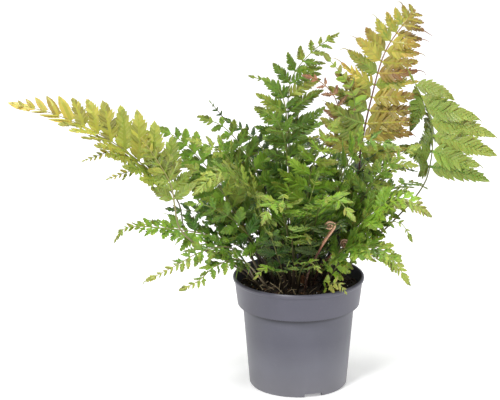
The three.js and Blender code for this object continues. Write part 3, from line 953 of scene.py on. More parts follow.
@dataclass(frozen=True)
class LeafletHabit:
    """How leaflets sit on a side leaf; a pair is a middle and a spread, or a range."""

    first_gap: float = 1.4
    pitch: float = 1.9
    pitch_share: float = 0.054
    widest: float = 0.56
    spread: float = 0.74
    slender: float = 0.28
    shoulder: float = 0.16
    basal_share: float = 0.72
    fade: float = 0.82
    taper: float = 1.7
    shortest: float = 1.2
    low_angle: float = 66.0
    tip_angle: float = 38.0
    angle_spread: float = 4.0
    sweep: float = 0.24
    narrowing: float = 0.8
    rib_half: float = 1.0
    rib_share: float = 0.3
    rib_place: float = 0.4
    rib_root: Pair = (1.05, 1.15)
    rib_depth: float = 0.28
    rib_end: float = 0.94
    rib_rings: int = 5
    rib_sides: int = 5
    rib_tone: float = 0.7
    bow: float = 0.14
    twist: float = 0.5
    ruffle: float = 1.0
    lift: Pair = (0.12, 0.16)
    roll: Pair = (0.05, 0.22)
    lengths: Pair = (0.92, 1.08)
    droops: Pair = (0.02, 0.24)
    tones: Pair = (0.1, 0.9)
    tone_spread: float = 0.2
    ripe_spread: float = 0.04
    end_room: float = 0.7
    end_pitches: float = 1.9
    end_width: float = 0.42
    end_ripening: float = 0.1
    simple_length: float = 8.5
    simple_width: float = 0.2
    simple_shape: LeafletShape = LeafletShape()

    def reach(self, leaf: SideLeaf, s: float) -> float:
        """Gives how far leaflets reach from the rib of a side leaf.

        Args:
            leaf: the side leaf.
            s: the share of its rib.

        Returns:
            The length of a leaflet there.
        """
        widest = min(self.spread * leaf.spacing, self.slender * leaf.length)
        rise = self.basal_share + (1 - self.basal_share) * min(1.0, s / self.shoulder)
        return max(widest * rise * (1 - s**self.taper) ** self.fade, self.shortest)

    def rib(self, bed: LeafBed, rib: Rib, leaf: SideLeaf, ripe: float) -> None:
        """Adds the winged rib of a side leaf.

        Args:
            bed: the mesh of the side leaf.
            rib: its curve.
            leaf: its sizes.
            ripe: its ripeness.
        """
        wide, deep = self.rib_root
        wing = min(self.rib_half, self.rib_share * self.reach(leaf, self.rib_place))
        rings = []
        for s in np.linspace(0.0, self.rib_end, self.rib_rings):
            heading = rib.heading(s)
            station = Station(rib.at(s), heading, across(heading.cross(rib.broad(s)), heading))
            rings.append(station.ring(wing * (wide - s**3), self.rib_depth * (deep - s)))
        bed.tube(rings, self.rib_sides, self.rib_tone, LeafBed.LEAF, [ripe] * self.rib_rings)


@dataclass(frozen=True)
class DryTip:
    """The thin, curled, dry thread that some side leaves end in."""

    least_leaf: float = 12.0
    lengths: Pair = (8.0, 18.0)
    turns: Pair = (0.6, 3.4)
    tones: Pair = (0.2, 0.7)
    start: float = 0.97
    stray: float = 0.5
    half: float = 0.5
    root: float = 1.1
    first_turn: float = 0.5
    rings: int = 9
    sides: int = 4
    dryness: float = 0.35

    def hang(self, bed: LeafBed, rib: Rib, ripe: float, draw: np.random.Generator) -> None:
        """Adds the thread to the end of a side leaf, curling down and to one side.

        Args:
            bed: the mesh of the side leaf.
            rib: its rib.
            ripe: its ripeness.
            draw: the source of chance.
        """
        step = draw.uniform(*self.lengths) / self.rings
        turn = draw.uniform(*self.turns) / self.rings
        along = rib.heading(1.0)
        point = rib.at(self.start)
        aside = Vector(draw.normal(0, self.stray, 3)) - UP
        rings = []
        for i in range(self.rings):
            up = across(aside, along)
            half = self.half * (self.root - i / (self.rings - 1))
            rings.append(Station(point, along, up).ring(half, half))
            along = (along + up * (turn * (self.first_turn + i / self.rings))).normalized()
            point = point + along * step
        dry = [ripe + self.dryness] * self.rings
        bed.tube(rings, self.sides, draw.uniform(*self.tones), LeafBed.LEAF, dry)


@dataclass(frozen=True)
class Frond:
    """A frond: a stalk with pairs of side leaves, each cut to its rib into leaflets."""

    name: str
    anchors: tuple[Point, ...]
    stalk: float
    pairs: int
    reach: float
    angle: float
    fold: float
    face: Point
    slot: Slot
    ripe: Pair = (0.2, 0.8)
    right_ripe: float = 0.0
    stalk_finish: StalkFinish = GREEN_STALK
    habit: LeafHabit = LeafHabit()
    leaflets: LeafletHabit = LeafletHabit()
    shape: LeafletShape = LeafletShape()
    tilt: float = 0.0
    between: bool = False
    dry_tips: float = 0.0
    thread: DryTip = DryTip()
    stalk_width: Point = (1.0, 0.72, 0.36)
    stalk_depth: Point = (0.95, 0.66, 0.32)
    stalk_sides: int = 8
    stalk_step: float = 7.0
    stalk_end: float = 0.995
    stalk_tones: Pair = (0.3, 0.7)
    root_depth: float = 10.0

    def side_leaves(self, length: float) -> Iterator[tuple[SideLeaf, bool]]:
        """Gives the side leaves from the lowest up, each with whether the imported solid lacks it.

        Args:
            length: the length of the frond's route.

        Yields:
            The pairs of the solid and, on a frond that has them, a pair between each two.
        """
        habit = self.habit
        places = [1 - (1 - k / self.pairs) ** habit.crowding for k in range(self.pairs + 1)]
        below = None
        for place, above in zip(places, places[1:]):
            basal = habit.basal_share + (1 - habit.basal_share) * min(1.0, place / habit.basal_run)
            leaf = SideLeaf(
                place=place,
                share=self.stalk + (1 - self.stalk) * place,
                length=self.reach * (1 - place) ** habit.taper * basal,
                angle=math.radians(self.angle - habit.closing * place),
                spacing=length * (1 - self.stalk) * (above - place),
            )
            if self.between and below:
                pairs = zip(astuple(below), astuple(leaf))
                yield SideLeaf(*((low + high) / 2 for low, high in pairs)), True
            yield leaf, False
            below = leaf

    def rib(self, station: Station, side: int, leaf: SideLeaf, bend: float, cut: float,
            bow: Vector) -> Rib:
        """Gives the rib of a side leaf.

        Args:
            station: where it leaves the midrib.
            side: -1 or 1, the side that it grows on.
            leaf: its sizes.
            bend: how far it is bent up from its own fold, in degrees.
            cut: the share of its length that it keeps.
            bow: how far its middle stands off the line to its tip, beside its length.

        Returns:
            The rib.
        """
        fold = math.radians(self.fold + bend)
        outward = station.side * (side * math.cos(fold)) + station.up * math.sin(fold)
        start = outward * math.sin(leaf.angle) + station.along * math.cos(leaf.angle)
        curl = station.along * self.habit.sweep - UP * self.habit.droop
        tilt = -side * math.radians(self.tilt)
        return Rib(station.point, start, curl, bow, leaf.length * cut, station.along, tilt)

    def clear_rib(self, solid: KDTree | None, station: Station, side: int, leaf: SideLeaf,
                  draw: np.random.Generator) -> Rib | None:
        """Gives the rib, bent or cut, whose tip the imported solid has.

        Args:
            solid: the vertices of the frond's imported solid, or nothing where it has none.
            station: where the side leaf leaves the midrib.
            side: -1 or 1, the side that it grows on.
            leaf: its sizes.
            draw: the source of chance.

        Returns:
            The rib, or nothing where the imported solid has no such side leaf.
        """
        habit = self.habit
        bow = station.up * draw.normal(habit.arching, 1) * self.leaflets.bow
        bow += station.along * draw.normal(0, 1) * self.leaflets.bow
        if solid is None:
            bend = draw.normal(0, habit.unruly)
            return self.rib(station, side, leaf, bend, draw.uniform(*habit.free_cuts), bow)
        ways = [(bend, cut) for cut in habit.cuts for bend in habit.bends]
        ribs = [self.rib(station, side, leaf, bend, cut, bow) for bend, cut in ways]
        misses = [solid.find(rib.at(1.0))[2] for rib in ribs]
        best = int(np.argmin(misses))
        return ribs[best] if misses[best] < habit.tip_reach else None

    def spots(self, rib: Rib, leaf: SideLeaf, up: Vector, ripe: float,
              draw: np.random.Generator) -> Iterator[Spot]:
        """Gives the place of each leaflet on a side leaf.

        Args:
            rib: the side leaf's rib.
            leaf: its sizes.
            up: the frond's upper side there.
            ripe: the side leaf's ripeness.
            draw: the source of chance.

        Yields:
            The spots from the midrib out, and the one at the tip.
        """
        plan = self.leaflets
        leaf_tone = draw.uniform(*plan.tones)
        if rib.length < plan.simple_length:
            yield self.tip_spot(rib, up, 0.0, plan.simple_width * rib.length, ripe, leaf_tone)
            return
        count = max(2, round(rib.length / (plan.pitch + plan.pitch_share * rib.length)))
        pitch = (rib.length - plan.first_gap) / (count + plan.end_room)
        twist = draw.normal(0, plan.twist)
        for j in range(count):
            s = (plan.first_gap + (j + 0.5) * pitch) / rib.length
            heading = rib.heading(s)
            broad = Matrix.Rotation(twist * s, 3, heading) @ rib.broad(s)
            normal = facing(heading.cross(broad), up)
            reach = plan.reach(leaf, s)
            for hand in (-1, 1):
                angle = math.radians(plan.low_angle + (plan.tip_angle - plan.low_angle) * s)
                angle += math.radians(draw.normal(0, plan.angle_spread))
                lift = draw.normal(*plan.lift) * plan.ruffle
                outward = broad * (hand * math.sin(angle))
                ahead = (heading * math.cos(angle) + outward + normal * lift).normalized()
                roll = draw.normal(*plan.roll) * plan.ruffle
                yield Spot(
                    root=rib.at(s),
                    ahead=ahead,
                    normal=across(normal + broad * (hand * roll), ahead),
                    length=reach * draw.uniform(*plan.lengths),
                    half_width=pitch * plan.widest * math.sin(angle) ** plan.narrowing,
                    droop=draw.uniform(*plan.droops),
                    sweep=heading * plan.sweep,
                    ripeness=ripe + draw.normal(0, plan.ripe_spread),
                    tone=leaf_tone + draw.normal(0, plan.tone_spread),
                    out=s,
                )
        start = 1 - plan.end_pitches * pitch / rib.length
        yield self.tip_spot(rib, up, start, pitch * plan.end_width, ripe, leaf_tone)

    def tip_spot(self, rib: Rib, up: Vector, start: float, half_width: float, ripe: float,
                 tone: float) -> Spot:
        """Gives the spot of the leaflet that ends a side leaf, or is the whole of a small one.

        Args:
            rib: the side leaf's rib.
            up: the frond's upper side there.
            start: the share of the rib that it starts at.
            half_width: half its width.
            ripe: its ripeness.
            tone: how light it is, from 0 to 1.

        Returns:
            The spot.
        """
        root = rib.at(start)
        ahead = (rib.at(1.0) - root).normalized()
        normal = across(facing(rib.heading(start).cross(rib.broad(start)), up), ahead)
        ripeness = ripe + self.leaflets.end_ripening
        length = rib.length * (1 - start)
        return Spot(root, ahead, normal, length, half_width, 0.0, STILL, ripeness, tone, 1.0)

    def grow(self, bed: LeafBed, rib: Rib, leaf: SideLeaf, up: Vector, ripe: float,
             draw: np.random.Generator) -> None:
        """Adds one side leaf, with its rib and its leaflets.

        Args:
            bed: the mesh of the frond.
            rib: the curve of the side leaf's rib.
            leaf: its sizes.
            up: the frond's upper side there.
            ripe: its ripeness.
            draw: the source of chance.
        """
        made = LeafBed()
        simple = rib.length < self.leaflets.simple_length
        shape = self.leaflets.simple_shape if simple else self.shape
        shape.press(made, self.spots(rib, leaf, up, ripe, draw))
        self.leaflets.rib(made, rib, leaf, ripe)
        if draw.uniform() < self.dry_tips and rib.length > self.thread.least_leaf:
            self.thread.hang(made, rib, ripe, draw)
        turn_out(made.mesh)
        graft(bed.mesh, mesh_of(made.mesh, self.name))

    def grow_tip(self, bed: LeafBed, route: Route, draw: np.random.Generator) -> None:
        """Adds the lobed end of the blade, as a side leaf that runs on with the midrib.

        Args:
            bed: the mesh of the frond.
            route: the frond's route.
            draw: the source of chance.
        """
        share = 1 - self.habit.end_share * (1 - self.stalk)
        start = route.at(share)
        run = route.at(1.0).point - start.point
        rib = Rib(start.point, run.normalized(), STILL, STILL, run.length, start.side)
        leaf = SideLeaf(1.0, share, run.length, 0.0, self.habit.end_spacing)
        self.grow(bed, rib, leaf, start.up, self.ripe[1], draw)

    def build(self, solid: KDTree | None, materials: Sequence[Material], seed: int) -> None:
        """Builds the frond.

        Args:
            solid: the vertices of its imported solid, in millimetres, or nothing if it has none.
            materials: the leaf's and the stalk's material.
            seed: the seed of its chance differences.
        """
        draw = np.random.default_rng(seed)
        route = Route(self.anchors, self.stalk, self.face)
        bed = LeafBed()
        count = math.ceil((route.length + self.root_depth) / self.stalk_step)
        shares = np.linspace(-self.root_depth / route.length, self.stalk_end, count)
        rings = route.rings(self.stalk_width, self.stalk_depth, shares)
        tone = draw.uniform(*self.stalk_tones)
        bed.tube(rings, self.stalk_sides, tone, LeafBed.STALK, shares)
        turn_out(bed.mesh)
        young, old = self.ripe
        grown = 0
        for leaf, extra in self.side_leaves(route.length):
            station = route.at(leaf.share)
            for side in (-1, 1):
                rib = self.clear_rib(None if extra else solid, station, side, leaf, draw)
                if rib is None:
                    continue
                ripe = young + (old - young) * leaf.place + (self.right_ripe if side > 0 else 0.0)
                ripe += draw.normal(0, self.habit.ripening)
                self.grow(bed, rib, leaf, station.up, ripe, draw)
                grown += 1
        self.grow_tip(bed, route, draw)
        LOG.info("%s: %d of %d side leaves", self.name, grown, 2 * self.pairs)
        nodes = [f"frond_{self.name}"] if solid else []
        settle(bed.mesh, f"{self.name}_frond", self.slot, materials, nodes)


SOIL_TOP = 104.0


def foot(x: float, y: float) -> Point:
    """Gives the point where a stalk leaves the soil."""
    return (x, y, SOIL_TOP)


BROAD = LeafletHabit(
    pitch=2.2, pitch_share=0.06, widest=0.66, spread=0.92, slender=0.37, narrowing=0.5, rib_half=1.8,
)
LOBED = LeafletHabit(
    pitch=1.9, pitch_share=0.055, widest=0.64, spread=0.62, slender=0.25, narrowing=0.5,
    fade=0.9, low_angle=60.0, tip_angle=32.0, rib_half=1.4, ruffle=0.5,
)
GOLDEN = LeafletHabit(
    pitch=2.0, pitch_share=0.055, widest=0.62, spread=0.84, slender=0.3, narrowing=0.6, ruffle=0.7,
    simple_length=30.0, simple_width=0.19, rib_half=1.6, bow=0.1, twist=0.3,
    simple_shape=LeafletShape(steps=12, tooth=0.05, arch=0.25),
)
SIMPLE = LeafletHabit(simple_length=24.0, simple_width=0.3)
FULL = LeafletHabit(widest=0.62, spread=0.86, slender=0.3, narrowing=0.6, twist=0.6, bow=0.18)
LACY = LeafletHabit(widest=0.52, spread=0.7, slender=0.26, bow=0.18)
CROWDED = LeafletHabit(widest=0.58, spread=0.95, slender=0.31, narrowing=0.75, twist=0.6, bow=0.2)
LOOSE = LeafletHabit(widest=0.64, spread=0.86, slender=0.34, narrowing=0.6, twist=1.0, bow=0.34)
FINE_LEAFLET = LeafletShape(steps=5, tooth=0.08)
PLAIN_LEAFLET = LeafletShape(steps=3, tooth=0.08)
TRAILING = LeafHabit(unruly=26.0, free_cuts=(0.5, 1.15))
SPRAY = (0.5, 0.4, 0.3)

FRONDS = (
    Frond("gold_left",
          (foot(-40, -10), (-72, -24, 136), (-109, -32, 163), (-121, -38, 205), (-174, -36, 254),
           (-231, -28, 282), (-281, -20, 293)),
          0.47, 13, 62, 58, 40, (0.35, -0.66, 0.75), Slot.GOLD, (0.0, 1.0),
          stalk_finish=TAN_STALK, leaflets=GOLDEN, shape=FINE_LEAFLET),
    Frond("bronze_tall",
          (foot(20, 14), (55, 20, 183), (61, 26, 233), (71, 38, 280), (86, 54, 327), (115, 64, 366)),
          0.47, 14, 57, 78, 8, (0.1, -1, 0.35), Slot.BRONZE, (0.16, 0.3), 0.26, DARK_STALK,
          LeafHabit(taper=0.5), CROWDED, FINE_LEAFLET, dry_tips=0.6,
          stalk_width=(1.4, 1.0, 0.45), stalk_depth=(1.3, 0.9, 0.4)),
    Frond("right_green",
          (foot(30, -10), (71, -10, 148), (115, -2, 194), (128, 0, 225), (128, 4, 269),
           (106, 14, 317)),
          0.61, 4, 75, 90, 30, (0.75, 0.6, 0), Slot.GREEN, (0.6, 0.95),
          habit=LeafHabit(closing=-52.0, taper=0.3), leaflets=LOBED, between=True, dry_tips=0.4),
    Frond("top_green",
          (foot(-3, 16), (-7, 30, 180), (-10, 44, 248), (-8, 52, 295), (13, 50, 326), (40, 44, 347)),
          0.5, 11, 52, 63, 12, (0.3, -1, 0.3), Slot.GREEN, (0.5, 1.0),
          leaflets=LACY, shape=FINE_LEAFLET),
    Frond("reddish_back",
          (foot(7, 22), (24, 36, 196), (39, 31, 252), (36, 26, 284), (20, 24, 303), (2, 22, 310)),
          0.58, 8, 27, 60, 8, (0.2, -1, 0.4), Slot.RUST, (0.3, 1.0),
          stalk_finish=DARK_STALK, leaflets=LACY),
    Frond("upper_left_thin",
          (foot(-15, 15), (-18, 34, 168), (-28, 54, 210), (-46, 64, 236), (-76, 70, 254)),
          0.5, 12, 24, 64, 8, (-0.3, -0.25, 1), Slot.DEEP),
    Frond("left_high",
          (foot(-28, 8), (-42, 2, 166), (-58, -6, 211), (-75, -14, 242), (-110, -22, 258)),
          0.37, 9, 48, 64, 8, (0.3, -0.4, 0.9), Slot.GREEN, (0.45, 1.0)),
    Frond("left_front",
          (foot(-18, -15), (-32, -34, 164), (-48, -56, 214), (-75, -76, 240), (-103, -92, 221)),
          0.37, 9, 48, 66, 6, (0.2, -0.3, 1), Slot.GREEN, (0.55, 1.0), between=True),
    Frond("left_low",
          (foot(-30, -19), (-54, -38, 150), (-91, -54, 171), (-134, -62, 180), (-167, -68, 182),
           (-179, -70, 167)),
          0.36, 10, 30, 66, 4, (0.1, -0.45, 1), Slot.LIME, stalk_finish=TAN_STALK,
          habit=TRAILING, leaflets=LOOSE, between=True, dry_tips=0.2),
    Frond("trail_left_upper",
          (foot(-37, -26), (-62, -58, 156), (-91, -80, 163), (-120, -92, 151), (-148, -98, 138)),
          0.4, 8, 24, 66, 0, (0.2, -0.4, 1), Slot.GREEN, (0.4, 1.2), stalk_finish=TAN_STALK,
          habit=TRAILING, leaflets=LOOSE, between=True, dry_tips=0.15),
    Frond("trail_left_lower",
          (foot(-27, -32), (-55, -68, 149), (-81, -92, 151), (-96, -104, 141), (-116, -112, 133)),
          0.42, 7, 24, 66, 0, (0.2, -0.3, 1), Slot.GREEN, (0.3, 1.1), stalk_finish=TAN_STALK,
          habit=TRAILING, leaflets=LOOSE, between=True, dry_tips=0.15),
    Frond("left_middle",
          (foot(-27, -5), (-48, -16, 152), (-71, -32, 178), (-100, -48, 192), (-130, -58, 198)),
          0.32, 9, 44, 64, 8, (0.2, -0.5, 1), Slot.DEEP, (0.6, 1.2)),
    Frond("front_right",
          (foot(5, -20), (12, -46, 163), (19, -74, 204), (33, -102, 222), (51, -126, 206)),
          0.36, 9, 44, 64, 6, (-0.2, -0.1, 1), Slot.LIME, tilt=42.0),
    Frond("front_left",
          (foot(-8, -22), (-11, -48, 163), (-19, -78, 205), (-27, -106, 219), (-37, -132, 204)),
          0.36, 9, 44, 64, 6, (0.2, -0.1, 1), Slot.LIME, tilt=42.0),
    Frond("right_high",
          (foot(15, -7), (30, -18, 179), (44, -32, 231), (62, -46, 263), (97, -58, 257)),
          0.36, 9, 50, 64, 8, (-0.2, -0.4, 0.9), Slot.GREEN),
    Frond("centre_high",
          (foot(2, 2), (7, -12, 177), (11, -26, 225), (21, -38, 255), (38, -48, 287)),
          0.36, 9, 50, 64, 8, (-0.2, -1, 0.2), Slot.LIME, (0.3, 0.9)),
    Frond("centre_left_high",
          (foot(-11, 4), (-10, 6, 177), (-11, 6, 228), (-21, 0, 268), (-44, -10, 287)),
          0.38, 9, 48, 64, 8, (0.3, -0.8, 0.4), Slot.GREEN),
    Frond("right_middle",
          (foot(24, -18), (46, -30, 157), (70, -44, 190), (98, -56, 208), (127, -64, 191)),
          0.33, 9, 44, 64, 6, (-0.2, -0.5, 1), Slot.LIME, (0.3, 1.0), leaflets=FULL, between=True),
    Frond("right_upper",
          (foot(32, 2), (42, 4, 163), (64, 10, 199), (90, 12, 221), (118, 6, 222)),
          0.37, 9, 44, 64, 8, (-0.3, -0.4, 0.9), Slot.GREEN, (0.4, 1.0), between=True),
    Frond("right_low",
          (foot(20, -28), (37, -48, 147), (54, -66, 163), (82, -80, 161), (106, -88, 130)),
          0.32, 9, 32, 66, 4, (-0.2, -0.4, 1), Slot.GREEN, (0.45, 1.05), leaflets=BROAD,
          between=True),
    Frond("back_left",
          (foot(-20, 26), (-32, 54, 158), (-50, 90, 196), (-68, 124, 208), (-84, 152, 196)),
          0.42, 9, 46, 64, 8, (0.2, -0.5, 1), Slot.GREEN),
    Frond("back_middle",
          (foot(-4, 30), (-6, 62, 165), (-8, 102, 212), (-8, 146, 222), (-8, 182, 198)),
          0.42, 9, 48, 64, 8, (0, -0.5, 1), Slot.GREEN),
    Frond("back_right",
          (foot(17, 28), (30, 56, 158), (52, 92, 198), (76, 126, 208), (98, 152, 190)),
          0.42, 9, 46, 64, 8, (-0.3, -0.5, 1), Slot.GREEN),
    Frond("back_far_left",
          (foot(-38, 14), (-58, 42, 148), (-82, 72, 176), (-106, 96, 184), (-124, 112, 174)),
          0.42, 8, 38, 64, 8, (0.4, -0.4, 1), Slot.DEEP),
    Frond("back_far_right",
          (foot(38, 14), (60, 40, 146), (88, 68, 174), (114, 90, 180), (134, 106, 168)),
          0.42, 8, 38, 64, 8, (-0.4, -0.4, 1), Slot.GREEN),
    Frond("young_front", (foot(-2, -35), (1, -50, 132), (9, -70, 148), (21, -86, 142)),
          0.3, 7, 23, 62, 6, (-0.1, 0.1, 1), Slot.LIME, tilt=30.0),
    Frond("young_right", (foot(36, -19), (47, -32, 132), (64, -44, 148), (80, -52, 143)),
          0.3, 7, 22, 62, 6, (-0.3, 0.1, 1), Slot.LIME, tilt=30.0),
    Frond("young_left", (foot(-15, -34), (-21, -50, 130), (-32, -70, 142), (-45, -84, 135)),
          0.3, 7, 21, 62, 6, (0.2, 0.1, 1), Slot.LIME, tilt=30.0),
)

FILLERS = (
    Frond("inner_gold",
          (foot(-38, -24), (-53, -30, 127), (-82, -62, 152), (-97, -80, 167), (-115, -84, 186),
           (-120, -70, 205), (-124, -56, 222), (-138, -46, 244), (-153, -42, 265)),
          0.7, 9, 34, 60, 10, (0.25, -1, 0.4), Slot.GOLD, (0.0, 0.45), stalk_finish=TAN_STALK,
          stalk_width=(0.95, 0.8, 0.4), stalk_depth=(0.9, 0.75, 0.35), leaflets=FULL),
    Frond("inner_left_back",
          (foot(-30, 6), (-56, 10, 160), (-84, 12, 210), (-112, 10, 244), (-138, 4, 262)),
          0.42, 10, 44, 62, 8, (0.2, -1, 0.35), Slot.LIME, (0.1, 0.6), leaflets=BROAD),
    Frond("inner_left_middle",
          (foot(-24, -14), (-48, -24, 160), (-70, -32, 200), (-92, -38, 226), (-112, -42, 238)),
          0.4, 8, 44, 60, 6, (0.2, -1, 0.35), Slot.GREEN, (0.6, 1.05), leaflets=FULL),
    Frond("inner_left_low",
          (foot(-20, -20), (-40, -36, 150), (-62, -48, 182), (-88, -56, 200), (-112, -60, 204)),
          0.36, 7, 36, 60, 6, (0.2, -1, 0.35), Slot.LIME, (0.0, 0.6), leaflets=FULL),
    Frond("inner_left_high",
          (foot(-12, 10), (-26, 14, 170), (-46, 16, 222), (-72, 14, 258), (-100, 8, 272)),
          0.42, 9, 38, 66, 6, (0.2, -1, 0.3), Slot.GREEN, (0.4, 0.9), leaflets=BROAD),
    Frond("inner_right_high",
          (foot(22, -8), (44, -16, 160), (66, -22, 205), (92, -24, 238), (118, -22, 252)),
          0.42, 9, 34, 66, 6, (-0.2, -1, 0.3), Slot.GREEN, (0.4, 0.9), leaflets=FULL),
    Frond("inner_right_low",
          (foot(26, -20), (50, -34, 150), (76, -44, 182), (100, -50, 198), (122, -54, 196)),
          0.36, 8, 28, 66, 6, (-0.2, -1, 0.35), Slot.GREEN, (0.5, 1.05), leaflets=FULL),
    Frond("inner_right_fall",
          (foot(28, -16), (56, -40, 162), (80, -54, 182), (98, -62, 184), (108, -66, 166)),
          0.4, 8, 20, 66, 6, (-0.2, -1, 0.35), Slot.GREEN, (0.4, 0.9), leaflets=FULL),
    Frond("inner_right_foot", (foot(24, -31), (38, -50, 140), (56, -62, 152), (74, -70, 148)),
          0.3, 7, 22, 62, 6, (-0.2, -1, 0.5), Slot.LIME, (0.55, 1.0), leaflets=FULL),
    Frond("inner_front_foot", (foot(20, -38), (28, -50, 118), (38, -56, 122), (46, -56, 110)),
          0.3, 6, 15, 62, 6, (-0.2, -1, 0.5), Slot.LIME, (0.8, 1.1), leaflets=FULL),
    Frond("inner_top_lime",
          (foot(12, 20), (36, 28, 190), (52, 30, 250), (52, 30, 292), (24, 30, 330)),
          0.7, 9, 17, 60, 6, (0.3, -1, 0.3), Slot.LIME, (0.5, 0.9), leaflets=SIMPLE),
    Frond("inner_top_left",
          (foot(-6, 19), (-12, 32, 196), (-12, 42, 262), (-22, 46, 292), (-50, 46, 303)),
          0.7, 7, 22, 58, 6, (-0.2, -1, 0.6), Slot.GREEN, (0.3, 0.9)),
    Frond("gold_spray_upper",
          ((-172, -36, 252), (-186, -40, 249), (-198, -42, 245), (-210, -44, 241)),
          0.35, 6, 9, 52, 8, (0.1, -1, 0.5), Slot.GOLD, (0.3, 0.8), root_depth=1.0,
          stalk_width=SPRAY, stalk_depth=SPRAY),
    Frond("gold_spray_lower",
          ((-150, -37, 232), (-160, -40, 231), (-172, -42, 228), (-187, -45, 223)),
          0.3, 6, 10, 52, 8, (0.1, -1, 0.5), Slot.GOLD, (0.2, 0.7), root_depth=1.0,
          stalk_width=SPRAY, stalk_depth=SPRAY),
    Frond("thin_spray", ((-74, 70, 253), (-80, 71, 260), (-89, 72, 271)),
          0.2, 4, 7, 56, 8, (-0.2, -1, 0.5), Slot.DEEP, (0.6, 1.0), root_depth=1.0,
          stalk_width=SPRAY, stalk_depth=SPRAY),
    # painted shade: a low ripeness darkens these two front fronds to stand in for the shade low in the
    # middle of the clump
    Frond("inner_front", (foot(0, -20), (4, -40, 165), (10, -50, 205), (18, -56, 236)),
          0.34, 8, 34, 66, 6, (0.1, -1, 0.2), Slot.GREEN, (0.0, 0.5), leaflets=FULL),
    Frond("inner_front_left", (foot(-10, -24), (-22, -44, 148), (-30, -56, 178), (-34, -62, 200)),
          0.34, 7, 28, 66, 6, (0.1, -1, 0.3), Slot.GREEN, (0.0, 0.4), leaflets=FULL),
)


@dataclass(frozen=True)
class Undergrowth:
    """A storey of short inner fronds, which fill the plant between its main ones. Its deep-green fronds
    take a low ripeness as painted shade inside the clump, and the others a higher one, partly as
    painted light.
    """

    name: str
    count: int
    root_radii: Pair
    heights: Pair
    leans: Pair
    reaches: Pair
    slots: tuple[Slot, ...]
    seed: int
    pairs: int = 7
    golden_turn: float = 137.5
    sway: float = 8.0
    bends: tuple[Point, ...] = ((0.36, 0.3, 0.66), (0.74, 1.0, 1.0), (1.0, 1.6, 1.0))
    droop: float = 12.0
    stalk: float = 0.36
    angle: float = 66.0
    folds: Pair = (0.0, 14.0)
    tilts: Pair = (0.0, 40.0)
    inward: float = 0.4
    # painted shade: shaded is the low ripeness that darkens the deep-green fronds; lit is the ripeness
    # of the others, partly painted light
    shaded: Pair = (-0.2, 0.4)
    lit: Pair = (0.4, 0.9)

    def fronds(self) -> Iterator[Frond]:
        """Gives the fronds, each turned by the golden angle from the one before.

        Yields:
            The fronds, from the middle of the plant outwards.
        """
        draw = np.random.default_rng(self.seed)
        for i in range(self.count):
            out = heading_at(math.radians(self.golden_turn) * i + self.seed)
            aside = Vector((-out.y, out.x, 0.0)) * draw.normal(0, self.sway)
            radius = float(np.interp(i, [0, self.count - 1], self.root_radii))
            height = draw.uniform(*self.heights)
            lean = draw.uniform(*self.leans)
            base = out * radius + UP * SOIL_TOP
            points = [base]
            for forth, beside, rise in self.bends:
                points.append(base + out * (lean * forth) + aside * beside + UP * (height * rise))
            points[-1] -= UP * draw.uniform(0, self.droop)
            slot = self.slots[i % len(self.slots)]
            yield Frond(
                f"{self.name}_{i + 1:02d}", tuple(tuple(point) for point in points), self.stalk,
                self.pairs, draw.uniform(*self.reaches), self.angle, draw.uniform(*self.folds),
                (-out.x * self.inward, -out.y * self.inward, 1.0), slot,
                ripe=self.shaded if slot is Slot.DEEP else self.lit, shape=PLAIN_LEAFLET,
                tilt=draw.uniform(*self.tilts),
            )


STOREYS = (
    Undergrowth("inner", 16, (6.0, 34.0), (34.0, 84.0), (26.0, 52.0), (24.0, 34.0),
                (Slot.DEEP, Slot.LIME, Slot.DEEP, Slot.LIME), 11),
    Undergrowth("middle", 12, (10.0, 32.0), (84.0, 130.0), (48.0, 92.0), (30.0, 40.0),
                (Slot.DEEP, Slot.GREEN, Slot.DEEP), 12),
    # low storey: two deep-green slots in three and a darker lit ripeness, as painted shade among the
    # lowest leaves
    Undergrowth("low", 10, (8.0, 32.0), (18.0, 44.0), (26.0, 44.0), (16.0, 22.0),
                (Slot.DEEP, Slot.DEEP, Slot.GREEN), 13, 6, lit=(0.1, 0.6)),
)


# Croziers and scales


@dataclass(frozen=True)
class ScaleShape:
    """A papery scale: a slim, flat spike with four sides."""

    length: float = 4.5
    half_width: float = 0.4
    flatness: float = 0.35
    lean: float = 0.5
    lengths: Pair = (0.5, 1.2)
    leans: Pair = (0.3, 1.6)
    stray: float = 0.2
    sink: float = 0.3
    sides: int = 4
    ripeness: float = 0.5

    def strew(self, bed: LeafBed, roots: Sequence[tuple[Vector, Vector, Vector]],
              draw: np.random.Generator, kind: int) -> None:
        """Adds one scale at each root.

        Args:
            bed: the mesh that they are added to.
            roots: for each, its point, the way out of the surface and the way up it.
            draw: the source of chance.
            kind: the number of their material.
        """
        for point, outward, upward in roots:
            length = self.length * draw.uniform(*self.lengths)
            lean = self.lean * draw.uniform(*self.leans)
            stray = Vector(draw.normal(0, self.stray, 3))
            axis = (upward + outward * lean + stray).normalized()
            wide = axis.cross(outward).normalized()
            thick = wide.cross(axis) * self.half_width * self.flatness
            middle = point + axis * (length / 2) - outward * self.half_width * self.sink
            made = bmesh.ops.create_cone(
                bed.mesh, cap_ends=True, segments=self.sides, radius1=1.0, radius2=0.0,
                depth=length, matrix=placed((wide * self.half_width, thick, axis), middle),
            )["verts"]
            tone = draw.uniform(0, 1)
            for vert in made:
                share = (vert.co - point).dot(axis) / length
                vert[bed.growth] = (self.ripeness, tone, min(max(share, 0.0), 1.0))
            bed.dress(made, kind)


